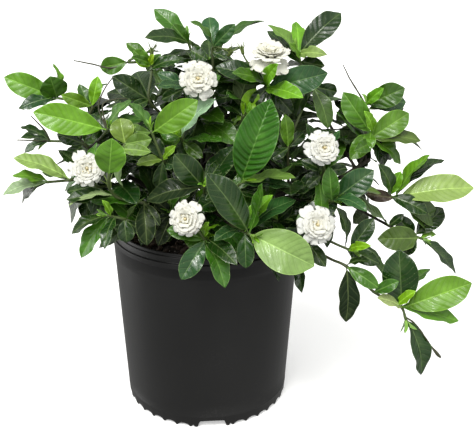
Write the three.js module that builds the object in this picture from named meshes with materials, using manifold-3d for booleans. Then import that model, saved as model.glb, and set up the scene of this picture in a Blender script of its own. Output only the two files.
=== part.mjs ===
// A potted gardenia: a black nursery pot of potting mix with a bushy plant in it.
// Millimetres, +Z up. The origin is the middle of the pot's underside, and the front is -Y.
import * as THREE from "three";
import { mergeVertices } from "three/addons/utils/BufferGeometryUtils.js";
import Module from "manifold-3d";

const wasm = await Module();
wasm.setup();

// Driving sizes of the pot.
const POT_HEIGHT = 263;
const LIP_RADIUS = 131.5;
const FOOT_RADIUS = 117;
const WALL = 2.4;
const LIP_HEIGHT = 251;
const LIP_STEP_HEIGHT = 8;
const LIP_STEP_IN = 3.5;
const RIM_STEP_IN = 2.5;
const RIM_DEPTH = 24;
const POT_SIDES = 32;
const FLOOR_THICKNESS = 2.5;
const GUTTER_HEIGHT = 12;
const PAD_RADIUS = 90;
const LOBES = 36;
const LOBE_NOTCH_RADIUS = 4.2;
const DRAIN_COUNT = 3;
const DRAIN_WIDTH = 42;
const DRAIN_HEIGHT = 10;
const DRAIN_TURN = 3;

// Driving sizes of the soil and the clearance that touching pieces keep.
const GAP = 0.3;
const SOIL_TOP = 236;
const SOIL_RISE = 8;
const STEM_DEPTH = 30;

// Driving sizes of the plant.
const BOUGH_RADIUS = 4;
const BOUGH_END_RADIUS = 2.6;
const TWIG_RADIUS = 2.1;
const STEM_RADIUS = 1.9;
const STEM_END_RADIUS = 1.6;
const STEM_END = 4;
const GREEN_LENGTH = 46;
const BLADE_THICKNESS = 1.6;
const PETIOLE_HALF_WIDTH = 0.8;
const CORE_HEIGHT = 8;
const CORE_RADIUS = 4.4;

// The eye of the photograph: its place, its aim and its focal length in pixels.
const EYE = new THREE.Vector3(0, -1050, 650);
const EYE_PITCH = 19.74;
const EYE_YAW = 2.46;
const EYE_ROLL = 0.37;
const EYE_FOCAL = 786.8;
const PICTURE_MIDDLE = [238, 215];

const Z = new THREE.Vector3(0, 0, 1);
const radians = THREE.MathUtils.degToRad;

function vector(x, y, z) {
  return new THREE.Vector3(x, y, z);
}

// One seeded stream of draws, so that every build grows the same plant.
let drawState = 20117;
function draw() {
  drawState = (drawState * 16807) % 2147483647;
  return drawState / 2147483647;
}

function between(low, high) {
  return low + (high - low) * draw();
}

// The eye's axes, and the place in the plant that a pixel of the photograph shows.
// near is how far that place lies in front of the pot's axis.
function eyeAxes() {
  const pitch = radians(EYE_PITCH);
  const yaw = radians(EYE_YAW);
  const ahead = vector(
    Math.sin(yaw) * Math.cos(pitch),
    Math.cos(yaw) * Math.cos(pitch),
    -Math.sin(pitch),
  );
  const level = ahead.clone().cross(Z).normalize();
  const upright = level.clone().cross(ahead);
  const roll = radians(EYE_ROLL);
  const right = level.clone().multiplyScalar(Math.cos(roll)).addScaledVector(upright, Math.sin(roll));
  const up = upright.clone().multiplyScalar(Math.cos(roll)).addScaledVector(level, -Math.sin(roll));
  return { ahead, right, up };
}

const EYE_AXES = eyeAxes();

function seen([across, down, near]) {
  const ray = EYE_AXES.ahead.clone();
  ray.addScaledVector(EYE_AXES.right, (across - PICTURE_MIDDLE[0]) / EYE_FOCAL);
  ray.addScaledVector(EYE_AXES.up, (PICTURE_MIDDLE[1] - down) / EYE_FOCAL);
  return EYE.clone().addScaledVector(ray, (-near - EYE.y) / ray.y);
}

// Millimetres to a pixel at a place.
function pixelSize(place) {
  return place.clone().sub(EYE).dot(EYE_AXES.ahead) / EYE_FOCAL;
}

// Solids: a closed geometry becomes one, solids are joined, and one becomes a mesh.
function solid(geometry) {
  const bare = geometry.clone();
  bare.deleteAttribute("normal");
  bare.deleteAttribute("uv");
  const merged = mergeVertices(bare, 1e-4);
  const vertProperties = new Float32Array(merged.attributes.position.array);
  const triVerts = new Uint32Array(merged.index.array);
  return new wasm.Manifold(new wasm.Mesh({ numProp: 3, vertProperties, triVerts }));
}

function join(solids) {
  return solids.reduce((all, next) => all.add(next));
}

// The largest body of a solid: what fusing leaves loose is dropped.
function wholeBody(joined) {
  const bodies = joined.decompose();
  return bodies.reduce((best, body) => (body.volume() > best.volume() ? body : best));
}

function mesh(name, joined, look) {
  const { vertProperties, triVerts } = joined.getMesh();
  const geometry = new THREE.BufferGeometry();
  geometry.setAttribute("position", new THREE.BufferAttribute(new Float32Array(vertProperties), 3));
  geometry.setIndex(new THREE.BufferAttribute(new Uint32Array(triVerts), 1));
  const flat = geometry.toNonIndexed();
  flat.computeVertexNormals();
  const made = new THREE.Mesh(flat, new THREE.MeshStandardMaterial(look));
  made.name = name;
  return made;
}

// A closed skin over a row of rings, each with the same number of points.
// A ring of one point ends the skin in a tip, and a wider end ring is capped.
function skin(rings) {
  const positions = rings.flat().flatMap((p) => [p.x, p.y, p.z]);
  const index = [];
  let start = 0;
  for (let i = 0; i + 1 < rings.length; i += 1) {
    const here = rings[i];
    const next = rings[i + 1];
    const after = start + here.length;
    const count = Math.max(here.length, next.length);
    for (let k = 0; k < count; k += 1) {
      const a = start + (here.length > 1 ? k : 0);
      const b = start + (here.length > 1 ? (k + 1) % count : 0);
      const c = after + (next.length > 1 ? k : 0);
      const d = after + (next.length > 1 ? (k + 1) % count : 0);
      const even = k % 2 === 0;
      if (here.length === 1) index.push(a, d, c);
      else if (next.length === 1) index.push(a, b, c);
      else if (even) index.push(a, b, c, b, d, c);
      else index.push(a, b, d, a, d, c);
    }
    start = after;
  }
  const first = rings[0].length;
  for (let k = 1; k + 1 < first; k += 1) index.push(0, k + 1, k);
  const last = rings[rings.length - 1].length;
  for (let k = 1; k + 1 < last; k += 1) index.push(start, start + k, start + k + 1);
  const geometry = new THREE.BufferGeometry();
  geometry.setAttribute("position", new THREE.Float32BufferAttribute(positions, 3));
  geometry.setIndex(index);
  return geometry;
}

// A stem of few sides along a curve, tapering from its foot to its end, with a ring at each place
// that the curve goes through.
function stemSolid(curve, footRadius, endRadius, sides) {
  const spans = curve.points.length - 1;
  const rings = [];
  let across = null;
  for (let k = 0; k <= spans; k += 1) {
    const ahead = curve.getTangent(k / spans);
    across = across || sidesOf(ahead).across;
    across = across.clone().addScaledVector(ahead, -across.dot(ahead)).normalize();
    const upward = ahead.clone().cross(across);
    const radius = footRadius + ((endRadius - footRadius) * k) / spans;
    const middle = curve.getPoint(k / spans);
    rings.push(Array.from({ length: sides }, (_, i) => {
      const angle = (2 * Math.PI * i) / sides;
      const place = middle.clone().addScaledVector(across, radius * Math.cos(angle));
      return place.addScaledVector(upward, radius * Math.sin(angle));
    }));
  }
  return solid(skin(rings));
}

// Two directions square to a face direction and to each other, and one at an angle round it.
function sidesOf(face) {
  const helper = Math.abs(face.z) > 0.9 ? vector(1, 0, 0) : Z;
  const across = helper.clone().cross(face).normalize();
  return { across, upward: face.clone().cross(across) };
}

function around(face, degrees) {
  const { across, upward } = sidesOf(face);
  const angle = radians(degrees);
  return across.multiplyScalar(Math.cos(angle)).addScaledVector(upward, Math.sin(angle));
}

// A turned solid about the Z axis, from its outline of [radius, height] points.
function turned(outline, sides) {
  const points = outline.map(([radius, height]) => new THREE.Vector2(radius, height));
  return solid(new THREE.LatheGeometry(points, sides).rotateX(Math.PI / 2));
}

// What is already taken up in the plant, as cubes of one room size with the node that holds them.
const ROOM = 4;
const SHARED = "shared";
const taken = new Map();

function cube(x, y, z) {
  return ((x + 512) * 1024 + (y + 512)) * 1024 + (z + 512);
}

// A cube that a shoot's own stem and leaves share stays that shoot's.
function sharedBy(holder, owner) {
  if (holder.startsWith(owner)) return holder;
  return owner.startsWith(holder) ? owner : SHARED;
}

function take(places, owner) {
  for (const place of places) {
    const x = Math.floor(place.x / ROOM);
    const y = Math.floor(place.y / ROOM);
    const z = Math.floor(place.z / ROOM);
    for (let i = x - 1; i <= x + 1; i += 1) {
      for (let j = y - 1; j <= y + 1; j += 1) {
        for (let k = z - 1; k <= z + 1; k += 1) {
          const key = cube(i, j, k);
          const holder = taken.get(key);
          taken.set(key, holder === undefined || holder === owner ? owner : sharedBy(holder, owner));
        }
      }
    }
  }
}

function insidePot(place) {
  const beside = Math.hypot(place.x, place.y) < LIP_RADIUS + ROOM;
  return (beside && place.z < POT_HEIGHT + ROOM / 2) || place.z < ROOM;
}

function isClear(places, allows) {
  return places.every((place) => {
    const holder = taken.get(
      cube(Math.floor(place.x / ROOM), Math.floor(place.y / ROOM), Math.floor(place.z / ROOM)),
    );
    return !insidePot(place) && (holder === undefined || allows(holder));
  });
}

// Forms of blade: where the rise and fall of the width lies along it.
const LEAF_FORM = { rise: 0.85, fall: 0.72, start: 0.08 };
const PETAL_FORM = { rise: 1.3, fall: 0.36, start: 0.0 };
const SEPAL_FORM = { rise: 0.4, fall: 0.9, start: 0.0 };

// A blade grows from root to tip. face is the side its upper surface turns to, arch is how far its
// middle rises over the straight line, fold how far its edges rise, and wave how far they swing.
function bladeFrame(blade) {
  const along = blade.tip.clone().sub(blade.root);
  const length = along.length();
  const ahead = along.clone().normalize();
  const up = blade.face.clone().addScaledVector(ahead, -blade.face.dot(ahead)).normalize();
  const side = up.clone().cross(ahead);
  return { along, length, up, side };
}

function halfWidth(blade, u) {
  const { rise, fall, start } = blade.form;
  const t = Math.max(0, (u - start) / (1 - start));
  const widest = rise / (rise + fall);
  const swell = (t / widest) ** rise * ((1 - t) / (1 - widest)) ** fall;
  return Math.max(PETIOLE_HALF_WIDTH * (1 - u), (blade.width / 2) * swell);
}

function bladePoint(blade, frame, u, v, lift = 0) {
  const { along, length, up, side } = frame;
  const rise = 4 * blade.arch * length;
  const middle = blade.root.clone().addScaledVector(along, u).addScaledVector(up, rise * u * (1 - u));
  const ahead = along.clone().addScaledVector(up, rise * (1 - 2 * u)).normalize();
  const normal = ahead.cross(side);
  const half = halfWidth(blade, u);
  const swing = blade.wave * Math.sin(2 * Math.PI * (2.2 * u + blade.phase)) * v * v * 4 * u * (1 - u);
  const height = blade.fold * half * Math.abs(v) + swing + lift;
  return middle.addScaledVector(side, half * v).addScaledVector(normal, height);
}

// Places all over a blade, close enough together that nothing can pass between them.
function bladePlaces(blade, from = 0, to = 1) {
  const frame = bladeFrame(blade);
  const rows = Math.max(4, Math.ceil(frame.length / ROOM));
  const columns = Math.max(1, Math.ceil(blade.width / 2 / ROOM));
  const places = [];
  for (let i = 0; i <= rows; i += 1) {
    const u = i / rows;
    if (u < from || u > to) continue;
    for (let j = -columns; j <= columns; j += 1) {
      places.push(bladePoint(blade, frame, u, j / columns));
    }
  }
  return places;
}

// The blade's solid: a lens across, with its two faces split into triangles alike.
function bladeSolid(blade, stations) {
  const frame = bladeFrame(blade);
  const half = BLADE_THICKNESS / 2;
  const ring = (u) => [
    bladePoint(blade, frame, u, -1),
    bladePoint(blade, frame, u, 0, -half),
    bladePoint(blade, frame, u, 1),
    bladePoint(blade, frame, u, 0, half),
  ];
  const tip = [bladePoint(blade, frame, 1, 0)];
  const foot = stations.length ? [blade.root] : ring(0);
  return solid(skin([foot, ...stations.map(ring), tip]));
}

// The pot is one moulding: tapering wall, stepped lip, and a floor with a raised gutter round its pad.
function wallRadius(z) {
  const slope = (LIP_RADIUS - FOOT_RADIUS) / LIP_HEIGHT;
  return FOOT_RADIUS + slope * z;
}

// The wall widens up to the lip, and the rim stands on it in two steps that draw in.
function potOutline() {
  const stepTop = LIP_HEIGHT + LIP_STEP_HEIGHT;
  const rimFoot = POT_HEIGHT - RIM_DEPTH;
  const stepRadius = LIP_RADIUS - LIP_STEP_IN;
  const rimRadius = stepRadius - RIM_STEP_IN;
  const innerFoot = FOOT_RADIUS - WALL;
  return [
    [0, 0],
    [PAD_RADIUS, 0],
    [PAD_RADIUS, GUTTER_HEIGHT],
    [innerFoot, GUTTER_HEIGHT],
    [innerFoot, 0],
    [FOOT_RADIUS, 0],
    [LIP_RADIUS, LIP_HEIGHT],
    [stepRadius, LIP_HEIGHT],
    [stepRadius, stepTop],
    [rimRadius, stepTop],
    [rimRadius, POT_HEIGHT],
    [rimRadius - WALL, POT_HEIGHT],
    [wallRadius(rimFoot) - WALL, rimFoot],
    [wallRadius(GUTTER_HEIGHT + FLOOR_THICKNESS) - WALL, GUTTER_HEIGHT + FLOOR_THICKNESS],
    [PAD_RADIUS - WALL, GUTTER_HEIGHT + FLOOR_THICKNESS],
    [PAD_RADIUS - WALL, FLOOR_THICKNESS],
    [0, FLOOR_THICKNESS],
  ];
}

// Turns the front of the pot to an angle counted from the front towards +X.
function turnedTo(geometry, degrees) {
  return geometry.rotateZ(radians(degrees));
}

function lobeNotch(degrees) {
  const geometry = new THREE.CylinderGeometry(LOBE_NOTCH_RADIUS, LOBE_NOTCH_RADIUS, 3 * WALL, 4);
  geometry.translate(0, -FOOT_RADIUS + WALL / 2, 0);
  return solid(turnedTo(geometry, degrees));
}

function drainNotch(degrees) {
  const outline = new THREE.Shape();
  outline.moveTo(-DRAIN_WIDTH / 2, -1);
  outline.lineTo(DRAIN_WIDTH / 2, -1);
  outline.lineTo(DRAIN_WIDTH / 2 - DRAIN_HEIGHT / 3, DRAIN_HEIGHT);
  outline.lineTo(-DRAIN_WIDTH / 2 + DRAIN_HEIGHT / 3, DRAIN_HEIGHT);
  const geometry = new THREE.ExtrudeGeometry(outline, { depth: 8 * WALL, bevelEnabled: false });
  geometry.rotateX(Math.PI / 2).translate(0, -FOOT_RADIUS + 6 * WALL, 0);
  return solid(turnedTo(geometry, degrees));
}

function isDrain(degrees) {
  const spacing = 360 / DRAIN_COUNT;
  const turn = (degrees - DRAIN_TURN + spacing / 2 + 360) % spacing;
  const half = THREE.MathUtils.radToDeg(DRAIN_WIDTH / 2 / FOOT_RADIUS) + 2;
  return Math.abs(turn - spacing / 2) < half;
}

function makePot() {
  let pot = turned(potOutline(), POT_SIDES);
  for (let i = 0; i < LOBES; i += 1) {
    const degrees = (i * 360) / LOBES + DRAIN_TURN;
    if (!isDrain(degrees)) pot = pot.subtract(lobeNotch(degrees));
  }
  for (let i = 0; i < DRAIN_COUNT; i += 1) {
    pot = pot.subtract(drainNotch((i * 360) / DRAIN_COUNT + DRAIN_TURN));
  }
  return mesh("pot", pot, { color: 0x2b2b2d, roughness: 0.5, metalness: 0 });
}

// The potting mix fills the pot to a little under its lip, and each bough stands in a plain hole.
function soilOutline() {
  const gutterTop = GUTTER_HEIGHT + FLOOR_THICKNESS + GAP;
  const beside = WALL + GAP;
  return [
    [0, FLOOR_THICKNESS + GAP],
    [PAD_RADIUS - beside, FLOOR_THICKNESS + GAP],
    [PAD_RADIUS - beside, gutterTop],
    [wallRadius(gutterTop) - beside, gutterTop],
    [wallRadius(SOIL_TOP) - beside - GAP, SOIL_TOP],
    [LIP_RADIUS * 0.6, SOIL_TOP + SOIL_RISE * 0.6],
    [0, SOIL_TOP + SOIL_RISE],
  ];
}

function makeSoil() {
  let soil = turned(soilOutline(), POT_SIDES / 2);
  for (const bough of BOUGHS) {
    const [x, y] = bough.foot;
    const radius = BOUGH_RADIUS + 3 * GAP;
    const hole = new THREE.CylinderGeometry(radius, radius, 2 * (STEM_DEPTH + GAP), 8);
    hole.rotateX(Math.PI / 2).translate(x, y, SOIL_TOP);
    soil = soil.subtract(solid(hole));
  }
  return mesh("soil", soil, { color: 0x3a2a1e, roughness: 0.95, metalness: 0 });
}

// Woody boughs: where each stands in the soil, and its places from there upwards, in millimetres.
const BOUGHS = [
  {
    name: "wood_left",
    foot: [-34, -8],
    path: [[-38, -12, 282], [-72, -40, 324], [-128, -58, 366], [-166, -60, 402]],
  },
  {
    name: "wood_front",
    foot: [-2, -44],
    path: [[-4, -58, 274], [0, -84, 304], [14, -104, 335]],
  },
  {
    name: "wood_right",
    foot: [36, -18],
    path: [[42, -24, 280], [96, -60, 322], [166, -74, 346], [214, -66, 372]],
  },
  {
    name: "wood_top",
    foot: [4, 8],
    path: [[2, 6, 290], [-4, 0, 350], [10, -8, 430]],
  },
  {
    name: "wood_back",
    foot: [-10, 50],
    path: [[-8, 62, 276], [6, 104, 330], [20, 130, 390]],
  },
];

// Leafy shoots that the photograph shows. Each grows from a place part way up its bough, in
// fractions of its length, through its whorls. at is a whorl's place and each leaf's row is its
// tip's place and the width it shows: pixels across, pixels down, near in mm, and pixels wide.
const SHOOTS = [
  {
    name: "shoot_front_hero", bough: "wood_front", fork: 0.8, whorls: [
      { at: [249, 234, 158], leaves: [
        [314, 266, 178, 42], [206, 173, 160, 30], [262, 184, 148, 11], [273, 195, 140, 13],
        [296, 200, 130, 18], [246, 269, 188, 18], [279, 282, 184, 14], [214, 241, 176, 12],
      ] },
    ],
  },
  {
    name: "shoot_tall_hero", bough: "wood_front", fork: 0.95, whorls: [
      { at: [240, 184, 126], leaves: [
        [271, 99, 132, 40], [296, 178, 140, 10], [291, 187, 124, 12], [205, 200, 118, 14],
      ] },
    ],
  },
  {
    name: "shoot_low_left", bough: "wood_left", fork: 0.3, whorls: [
      { at: [144, 203, 128], leaves: [[147, 246, 160, 20], [160, 226, 140, 12]] },
      { at: [115, 196, 134], leaves: [[66, 200, 140, 14], [69, 206, 124, 8]] },
      { at: [109, 174, 156], leaves: [[112, 138, 170, 31]] },
      { at: [125, 144, 126], leaves: [
        [120, 118, 114, 24], [152, 139, 128, 17], [123, 187, 134, 8], [151, 152, 136, 12],
      ] },
    ],
  },
  {
    name: "shoot_rim_left", bough: "wood_left", fork: 0.18, whorls: [
      { at: [124, 219, 140], leaves: [[127, 243, 158, 17], [142, 232, 152, 10]] },
      { at: [110, 216, 146], leaves: [
        [72, 234, 140, 12], [81, 258, 158, 17], [102, 200, 148, 7], [105, 249, 168, 12],
      ] },
    ],
  },
  {
    name: "shoot_centre_left", bough: "wood_top", fork: 0.45, whorls: [
      { at: [163, 160, 118], leaves: [
        [136, 165, 134, 10], [176, 146, 130, 8], [158, 190, 120, 14], [176, 166, 128, 12],
      ] },
      { at: [152, 133, 122], leaves: [
        [198, 100, 134, 27], [126, 130, 118, 14], [129, 103, 100, 10],
      ] },
    ],
  },
  {
    name: "shoot_centre_gloss", bough: "wood_top", fork: 0.55, whorls: [
      { at: [181, 138, 98], leaves: [
        [216, 99, 104, 13], [160, 132, 92, 13], [172, 153, 112, 6], [203, 158, 112, 13],
        [190, 112, 74, 12],
      ] },
    ],
  },
  {
    name: "shoot_centre_low", bough: "wood_front", fork: 0.6, whorls: [
      { at: [204, 188, 138], leaves: [
        [174, 154, 146, 26], [146, 201, 148, 20], [222, 160, 120, 14],
      ] },
    ],
  },
  {
    name: "shoot_front_low", bough: "wood_front", fork: 0.45, whorls: [
      { at: [205, 240, 156], leaves: [
        [166, 230, 166, 16], [181, 280, 184, 22], [225, 288, 186, 19], [221, 225, 168, 5],
        [212, 248, 178, 5], [209, 222, 166, 7], [237, 265, 178, 18], [222, 237, 172, 5],
      ] },
    ],
    bloom: { name: "bloom_low_left", at: [186, 219, 176], radius: 21.5, spread: 1,
      face: [-0.3, -0.9, 0.35] },
  },
  {
    name: "shoot_rim_front", bough: "wood_front", fork: 0.12, whorls: [
      { at: [172, 214, 108], leaves: [
        [148, 194, 108, 14], [196, 192, 98, 14], [158, 246, 132, 16], [188, 242, 136, 14],
        [206, 214, 112, 12], [142, 224, 112, 12],
      ] },
    ],
  },
  {
    name: "shoot_rim_right", bough: "wood_front", fork: 0.3, whorls: [
      { at: [278, 220, 100], leaves: [
        [262, 196, 96, 14], [300, 200, 92, 14], [268, 252, 130, 14], [290, 256, 128, 14],
        [306, 214, 104, 12], [252, 222, 112, 12],
      ] },
    ],
  },
  {
    name: "shoot_left_bloom", bough: "wood_left", fork: 0.62, whorls: [
      { at: [96, 186, 118], leaves: [[58, 150, 96, 14], [97, 134, 92, 12], [66, 192, 118, 12]] },
    ],
    bloom: { name: "bloom_left", at: [87, 169, 136], radius: 22, spread: 1,
      face: [0.1, -0.85, 0.5] },
  },
  {
    name: "shoot_left_far", bough: "wood_left", fork: 0.75, whorls: [
      { at: [70, 180, 100], leaves: [[13, 158, 104, 17], [42, 172, 84, 10]] },
      { at: [49, 182, 98], leaves: [[3, 195, 96, 12], [12, 176, 96, 9], [22, 204, 84, 9]] },
    ],
  },
  {
    name: "shoot_left_low", bough: "wood_left", fork: 0.7, whorls: [
      { at: [84, 144, 92], leaves: [[57, 134, 74, 14], [66, 158, 84, 13], [96, 120, 60, 12]] },
      { at: [50, 141, 64], leaves: [[20, 127, 52, 8], [21, 138, 62, 8], [24, 154, 58, 8]] },
    ],
  },
  {
    name: "shoot_left_big", bough: "wood_left", fork: 0.9, whorls: [
      { at: [107, 130, 96], leaves: [[33, 112, 104, 30], [132, 100, 92, 9], [86, 116, 80, 10]] },
    ],
  },
  {
    name: "shoot_left_upper", bough: "wood_left", fork: 0.97, whorls: [
      { at: [92, 106, 60], leaves: [
        [61, 95, 74, 14], [98, 76, 56, 13], [107, 83, 44, 8], [79, 84, 46, 12],
      ] },
      { at: [57, 98, 40], leaves: [
        [4, 77, 40, 24], [50, 76, 56, 28], [53, 63, 20, 7], [18, 109, 50, 11],
      ] },
    ],
  },
  {
    name: "shoot_upper_left", bough: "wood_top", fork: 0.75, whorls: [
      { at: [149, 100, 58], leaves: [[112, 76, 66, 22], [130, 108, 74, 10]] },
      { at: [150, 64, 44], leaves: [
        [126, 43, 36, 12], [131, 57, 58, 9], [162, 57, 52, 7], [181, 60, 58, 11],
      ] },
      { at: [128, 62, 50], leaves: [[100, 68, 56, 18]] },
    ],
    bud: { at: [152, 50, 42], size: 0.5 },
  },
  {
    name: "shoot_top_left", bough: "wood_top", fork: 0.96, whorls: [
      { at: [189, 44, 16], leaves: [
        [154, 9, 0, 18], [172, 24, 24, 15], [145, 38, 30, 14], [208, 60, 52, 15], [156, 71, 44, 9],
      ] },
    ],
  },
  {
    name: "shoot_top_middle", bough: "wood_top", fork: 0.99, whorls: [
      { at: [213, 47, 6], leaves: [
        [190, 22, -10, 6], [209, 17, -24, 18], [235, 24, -6, 14], [266, 21, -20, 8],
        [228, 60, 30, 9],
      ] },
    ],
    bud: { at: [228, 50, 16], size: 0.6 },
  },
  {
    name: "shoot_upper_bloom", bough: "wood_top", fork: 0.85, whorls: [
      { at: [186, 88, 76], leaves: [
        [157, 73, 74, 12], [158, 87, 96, 9], [161, 100, 88, 12], [216, 94, 70, 12],
        [204, 112, 84, 13],
      ] },
    ],
    bloom: { name: "bloom_upper", at: [198, 79, 112], radius: 22, spread: 1,
      face: [0.05, -0.9, 0.4] },
  },
  {
    name: "shoot_top_bloom", bough: "wood_top", fork: 0.9, whorls: [
      { at: [268, 86, 52], leaves: [
        [215, 67, 56, 20], [232, 73, 68, 12], [278, 64, 84, 12], [303, 98, 82, 15],
        [328, 73, 62, 28], [264, 70, 80, 8],
      ] },
    ],
    bloom: { name: "bloom_top", at: [270, 57, 66], radius: 28, spread: 0.7,
      face: [0.02, -0.3, 0.95] },
  },
  {
    name: "shoot_top_right", bough: "wood_right", fork: 0.9, whorls: [
      { at: [298, 56, 0], leaves: [
        [341, 13, -22, 24], [296, 21, -20, 14], [327, 55, 20, 11], [267, 25, 2, 8], [284, 35, 14, 7],
        [325, 66, 28, 14], [267, 31, -26, 14],
      ] },
    ],
  },
  {
    name: "shoot_behind_hero", bough: "wood_top", fork: 0.65, whorls: [
      { at: [243, 117, 56], leaves: [[256, 88, 54, 17], [231, 125, 40, 6], [222, 104, 20, 12]] },
    ],
  },
  {
    name: "shoot_beside_hero", bough: "wood_right", fork: 0.55, whorls: [
      { at: [288, 148, 70], leaves: [[285, 114, 72, 14], [304, 132, 60, 12], [270, 160, 84, 10]] },
      { at: [312, 86, 34], leaves: [[328, 129, 56, 17], [296, 118, 48, 12], [337, 92, 16, 14]] },
    ],
  },
  {
    name: "shoot_right_bloom", bough: "wood_right", fork: 0.62, whorls: [
      { at: [324, 172, 104], leaves: [
        [300, 160, 96, 10], [347, 168, 98, 12], [340, 130, 76, 12], [306, 188, 104, 10],
      ] },
    ],
    bloom: { name: "bloom_right", at: [324, 148, 136], radius: 22, spread: 1,
      face: [0.15, -0.88, 0.42] },
  },
  {
    name: "shoot_right_upper", bough: "wood_right", fork: 0.92, whorls: [
      { at: [371, 133, 60], leaves: [
        [343, 92, 58, 24], [364, 111, 74, 9], [422, 150, 34, 9], [409, 113, 56, 24],
        [401, 165, 76, 12], [421, 141, 62, 15], [354, 151, 98, 14], [393, 158, 64, 12],
      ] },
    ],
  },
  {
    name: "shoot_right_rear", bough: "wood_right", fork: 0.97, whorls: [
      { at: [366, 105, 8], leaves: [
        [405, 88, 12, 24], [384, 88, 28, 11], [351, 100, 4, 11], [404, 108, -4, 14],
      ] },
    ],
  },
  {
    name: "shoot_right_pale", bough: "wood_right", fork: 0.85, whorls: [
      { at: [395, 198, 84], leaves: [
        [474, 188, 88, 28], [430, 155, 66, 11], [445, 160, 58, 15], [401, 171, 96, 13],
        [378, 164, 98, 13], [428, 214, 104, 16],
      ] },
    ],
  },
  {
    name: "shoot_right_middle", bough: "wood_right", fork: 0.5, whorls: [
      { at: [332, 201, 116], leaves: [
        [374, 170, 122, 26], [329, 166, 112, 17], [367, 212, 150, 11], [382, 194, 104, 12],
      ] },
    ],
  },
  {
    name: "shoot_low_bloom", bough: "wood_right", fork: 0.35, whorls: [
      { at: [306, 240, 138], leaves: [
        [302, 293, 160, 13], [326, 267, 160, 15], [286, 228, 130, 11],
      ] },
    ],
    bloom: { name: "bloom_low_right", at: [317, 225, 166], radius: 24, spread: 1,
      face: [0.2, -0.85, 0.45] },
  },
  {
    name: "shoot_right_low", bough: "wood_right", fork: 0.45, whorls: [
      { at: [350, 250, 130], leaves: [
        [374, 218, 124, 18], [371, 246, 142, 9], [358, 261, 146, 8], [336, 207, 130, 8],
        [380, 264, 134, 16],
      ] },
    ],
  },
  {
    name: "shoot_right_dark", bough: "wood_right", fork: 0.7, whorls: [
      { at: [420, 238, 84], leaves: [
        [377, 239, 104, 25], [456, 274, 88, 10], [436, 234, 72, 6], [443, 208, 58, 21],
        [404, 256, 96, 15], [396, 216, 82, 17],
      ] },
    ],
  },
  {
    name: "shoot_drooping", bough: "wood_right", fork: 0.38, whorls: [
      { at: [346, 266, 150], leaves: [
        [346, 322, 162, 21], [379, 288, 166, 16], [370, 262, 130, 10],
      ] },
      { at: [374, 292, 150], leaves: [[399, 281, 150, 13]] },
      { at: [402, 308, 144], leaves: [
        [377, 298, 158, 11], [399, 249, 134, 36], [472, 283, 146, 32], [431, 268, 134, 14],
        [416, 291, 158, 10], [459, 321, 152, 17],
      ] },
      { at: [405, 317, 147], leaves: [[421, 375, 160, 18]] },
    ],
  },
];

// Leafy shoots of the back and the far sides, which the photograph doesn't show. Each row is the
// bough, the fork on it, the bearing of the shoot's tip from the front towards +X, its slope up from
// level, both in degrees, and how far out it reaches as a share of the crown.
const CROWN_MIDDLE = [12, 10, 322];
const CROWN_REACH = [236, 205, 196];
const HIDDEN_SHOOTS = [
  { name: "shoot_back_low_left", bough: "wood_back", fork: 0.35, bearing: -128, slope: 6, reach: 0.98 },
  { name: "shoot_back_left", bough: "wood_back", fork: 0.6, bearing: -150, slope: 38, reach: 0.96 },
  { name: "shoot_back_foot", bough: "wood_back", fork: 0.5, bearing: 180, slope: 4, reach: 1 },
  { name: "shoot_back_middle", bough: "wood_back", fork: 0.85, bearing: 170, slope: 44, reach: 0.95 },
  { name: "shoot_back_low_right", bough: "wood_back", fork: 0.42, bearing: 138, slope: 8, reach: 1 },
  { name: "shoot_back_right", bough: "wood_back", fork: 0.75, bearing: 122, slope: 36, reach: 0.98 },
  { name: "shoot_back_top", bough: "wood_top", fork: 0.8, bearing: -175, slope: 72, reach: 0.98 },
  { name: "shoot_far_left", bough: "wood_left", fork: 0.5, bearing: -100, slope: 12, reach: 0.9 },
  { name: "shoot_far_right", bough: "wood_right", fork: 0.6, bearing: 98, slope: 10, reach: 0.98 },
];
const HIDDEN_WHORLS = [
  { back: 88, leaves: 3, length: 88, spread: 68 },
  { back: 46, leaves: 3, length: 80, spread: 56 },
  { back: 22, leaves: 3, length: 74, spread: 50 },
  { back: 0, leaves: 3, length: 60, spread: 36 },
];

function boughCurve(bough) {
  const [x, y] = bough.foot;
  const rises = [-STEM_DEPTH, -STEM_DEPTH / 4, STEM_DEPTH / 2];
  const straight = rises.map((rise) => vector(x, y, SOIL_TOP + rise));
  const points = [...straight, ...bough.path.map((place) => vector(...place))];
  return new THREE.CatmullRomCurve3(points);
}

const BOUGH_CURVES = new Map(BOUGHS.map((bough) => [bough.name, boughCurve(bough)]));

// The place on a bough that lies a share of the way from the soil to its end.
function forkPlace(name, share) {
  const curve = BOUGH_CURVES.get(name);
  const foot = 2 / (curve.points.length - 1);
  return curve.getPoint(foot + share * (1 - foot));
}

// A twig leaves its bough outwards and then turns up to the shoot's first whorl.
const TWIG_DIP = 0.1;

function twigCurve(from, to) {
  const span = to.distanceTo(from);
  const control = from.clone().lerp(to, 0.55).addScaledVector(Z, -TWIG_DIP * span);
  control.z = Math.max(control.z, Math.min(POT_HEIGHT + 20, to.z));
  return new THREE.QuadraticBezierCurve3(from, control, to);
}

function curveThrough(points) {
  return new THREE.CatmullRomCurve3(points, false, "centripetal");
}

// The woody part of a twig and the green stem beyond it, which meet end to end.
function splitTwig(curve) {
  const length = curve.getLength();
  const green = Math.min(GREEN_LENGTH, length / 2);
  const split = 1 - green / length;
  const start = split + (GAP + 0.1) / length;
  const wood = [0, 0.5, 1].map((share) => curve.getPointAt(share * split));
  const stem = [0, 0.5, 1].map((share) => curve.getPointAt(start + share * (1 - start)));
  return { wood, stem };
}

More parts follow.
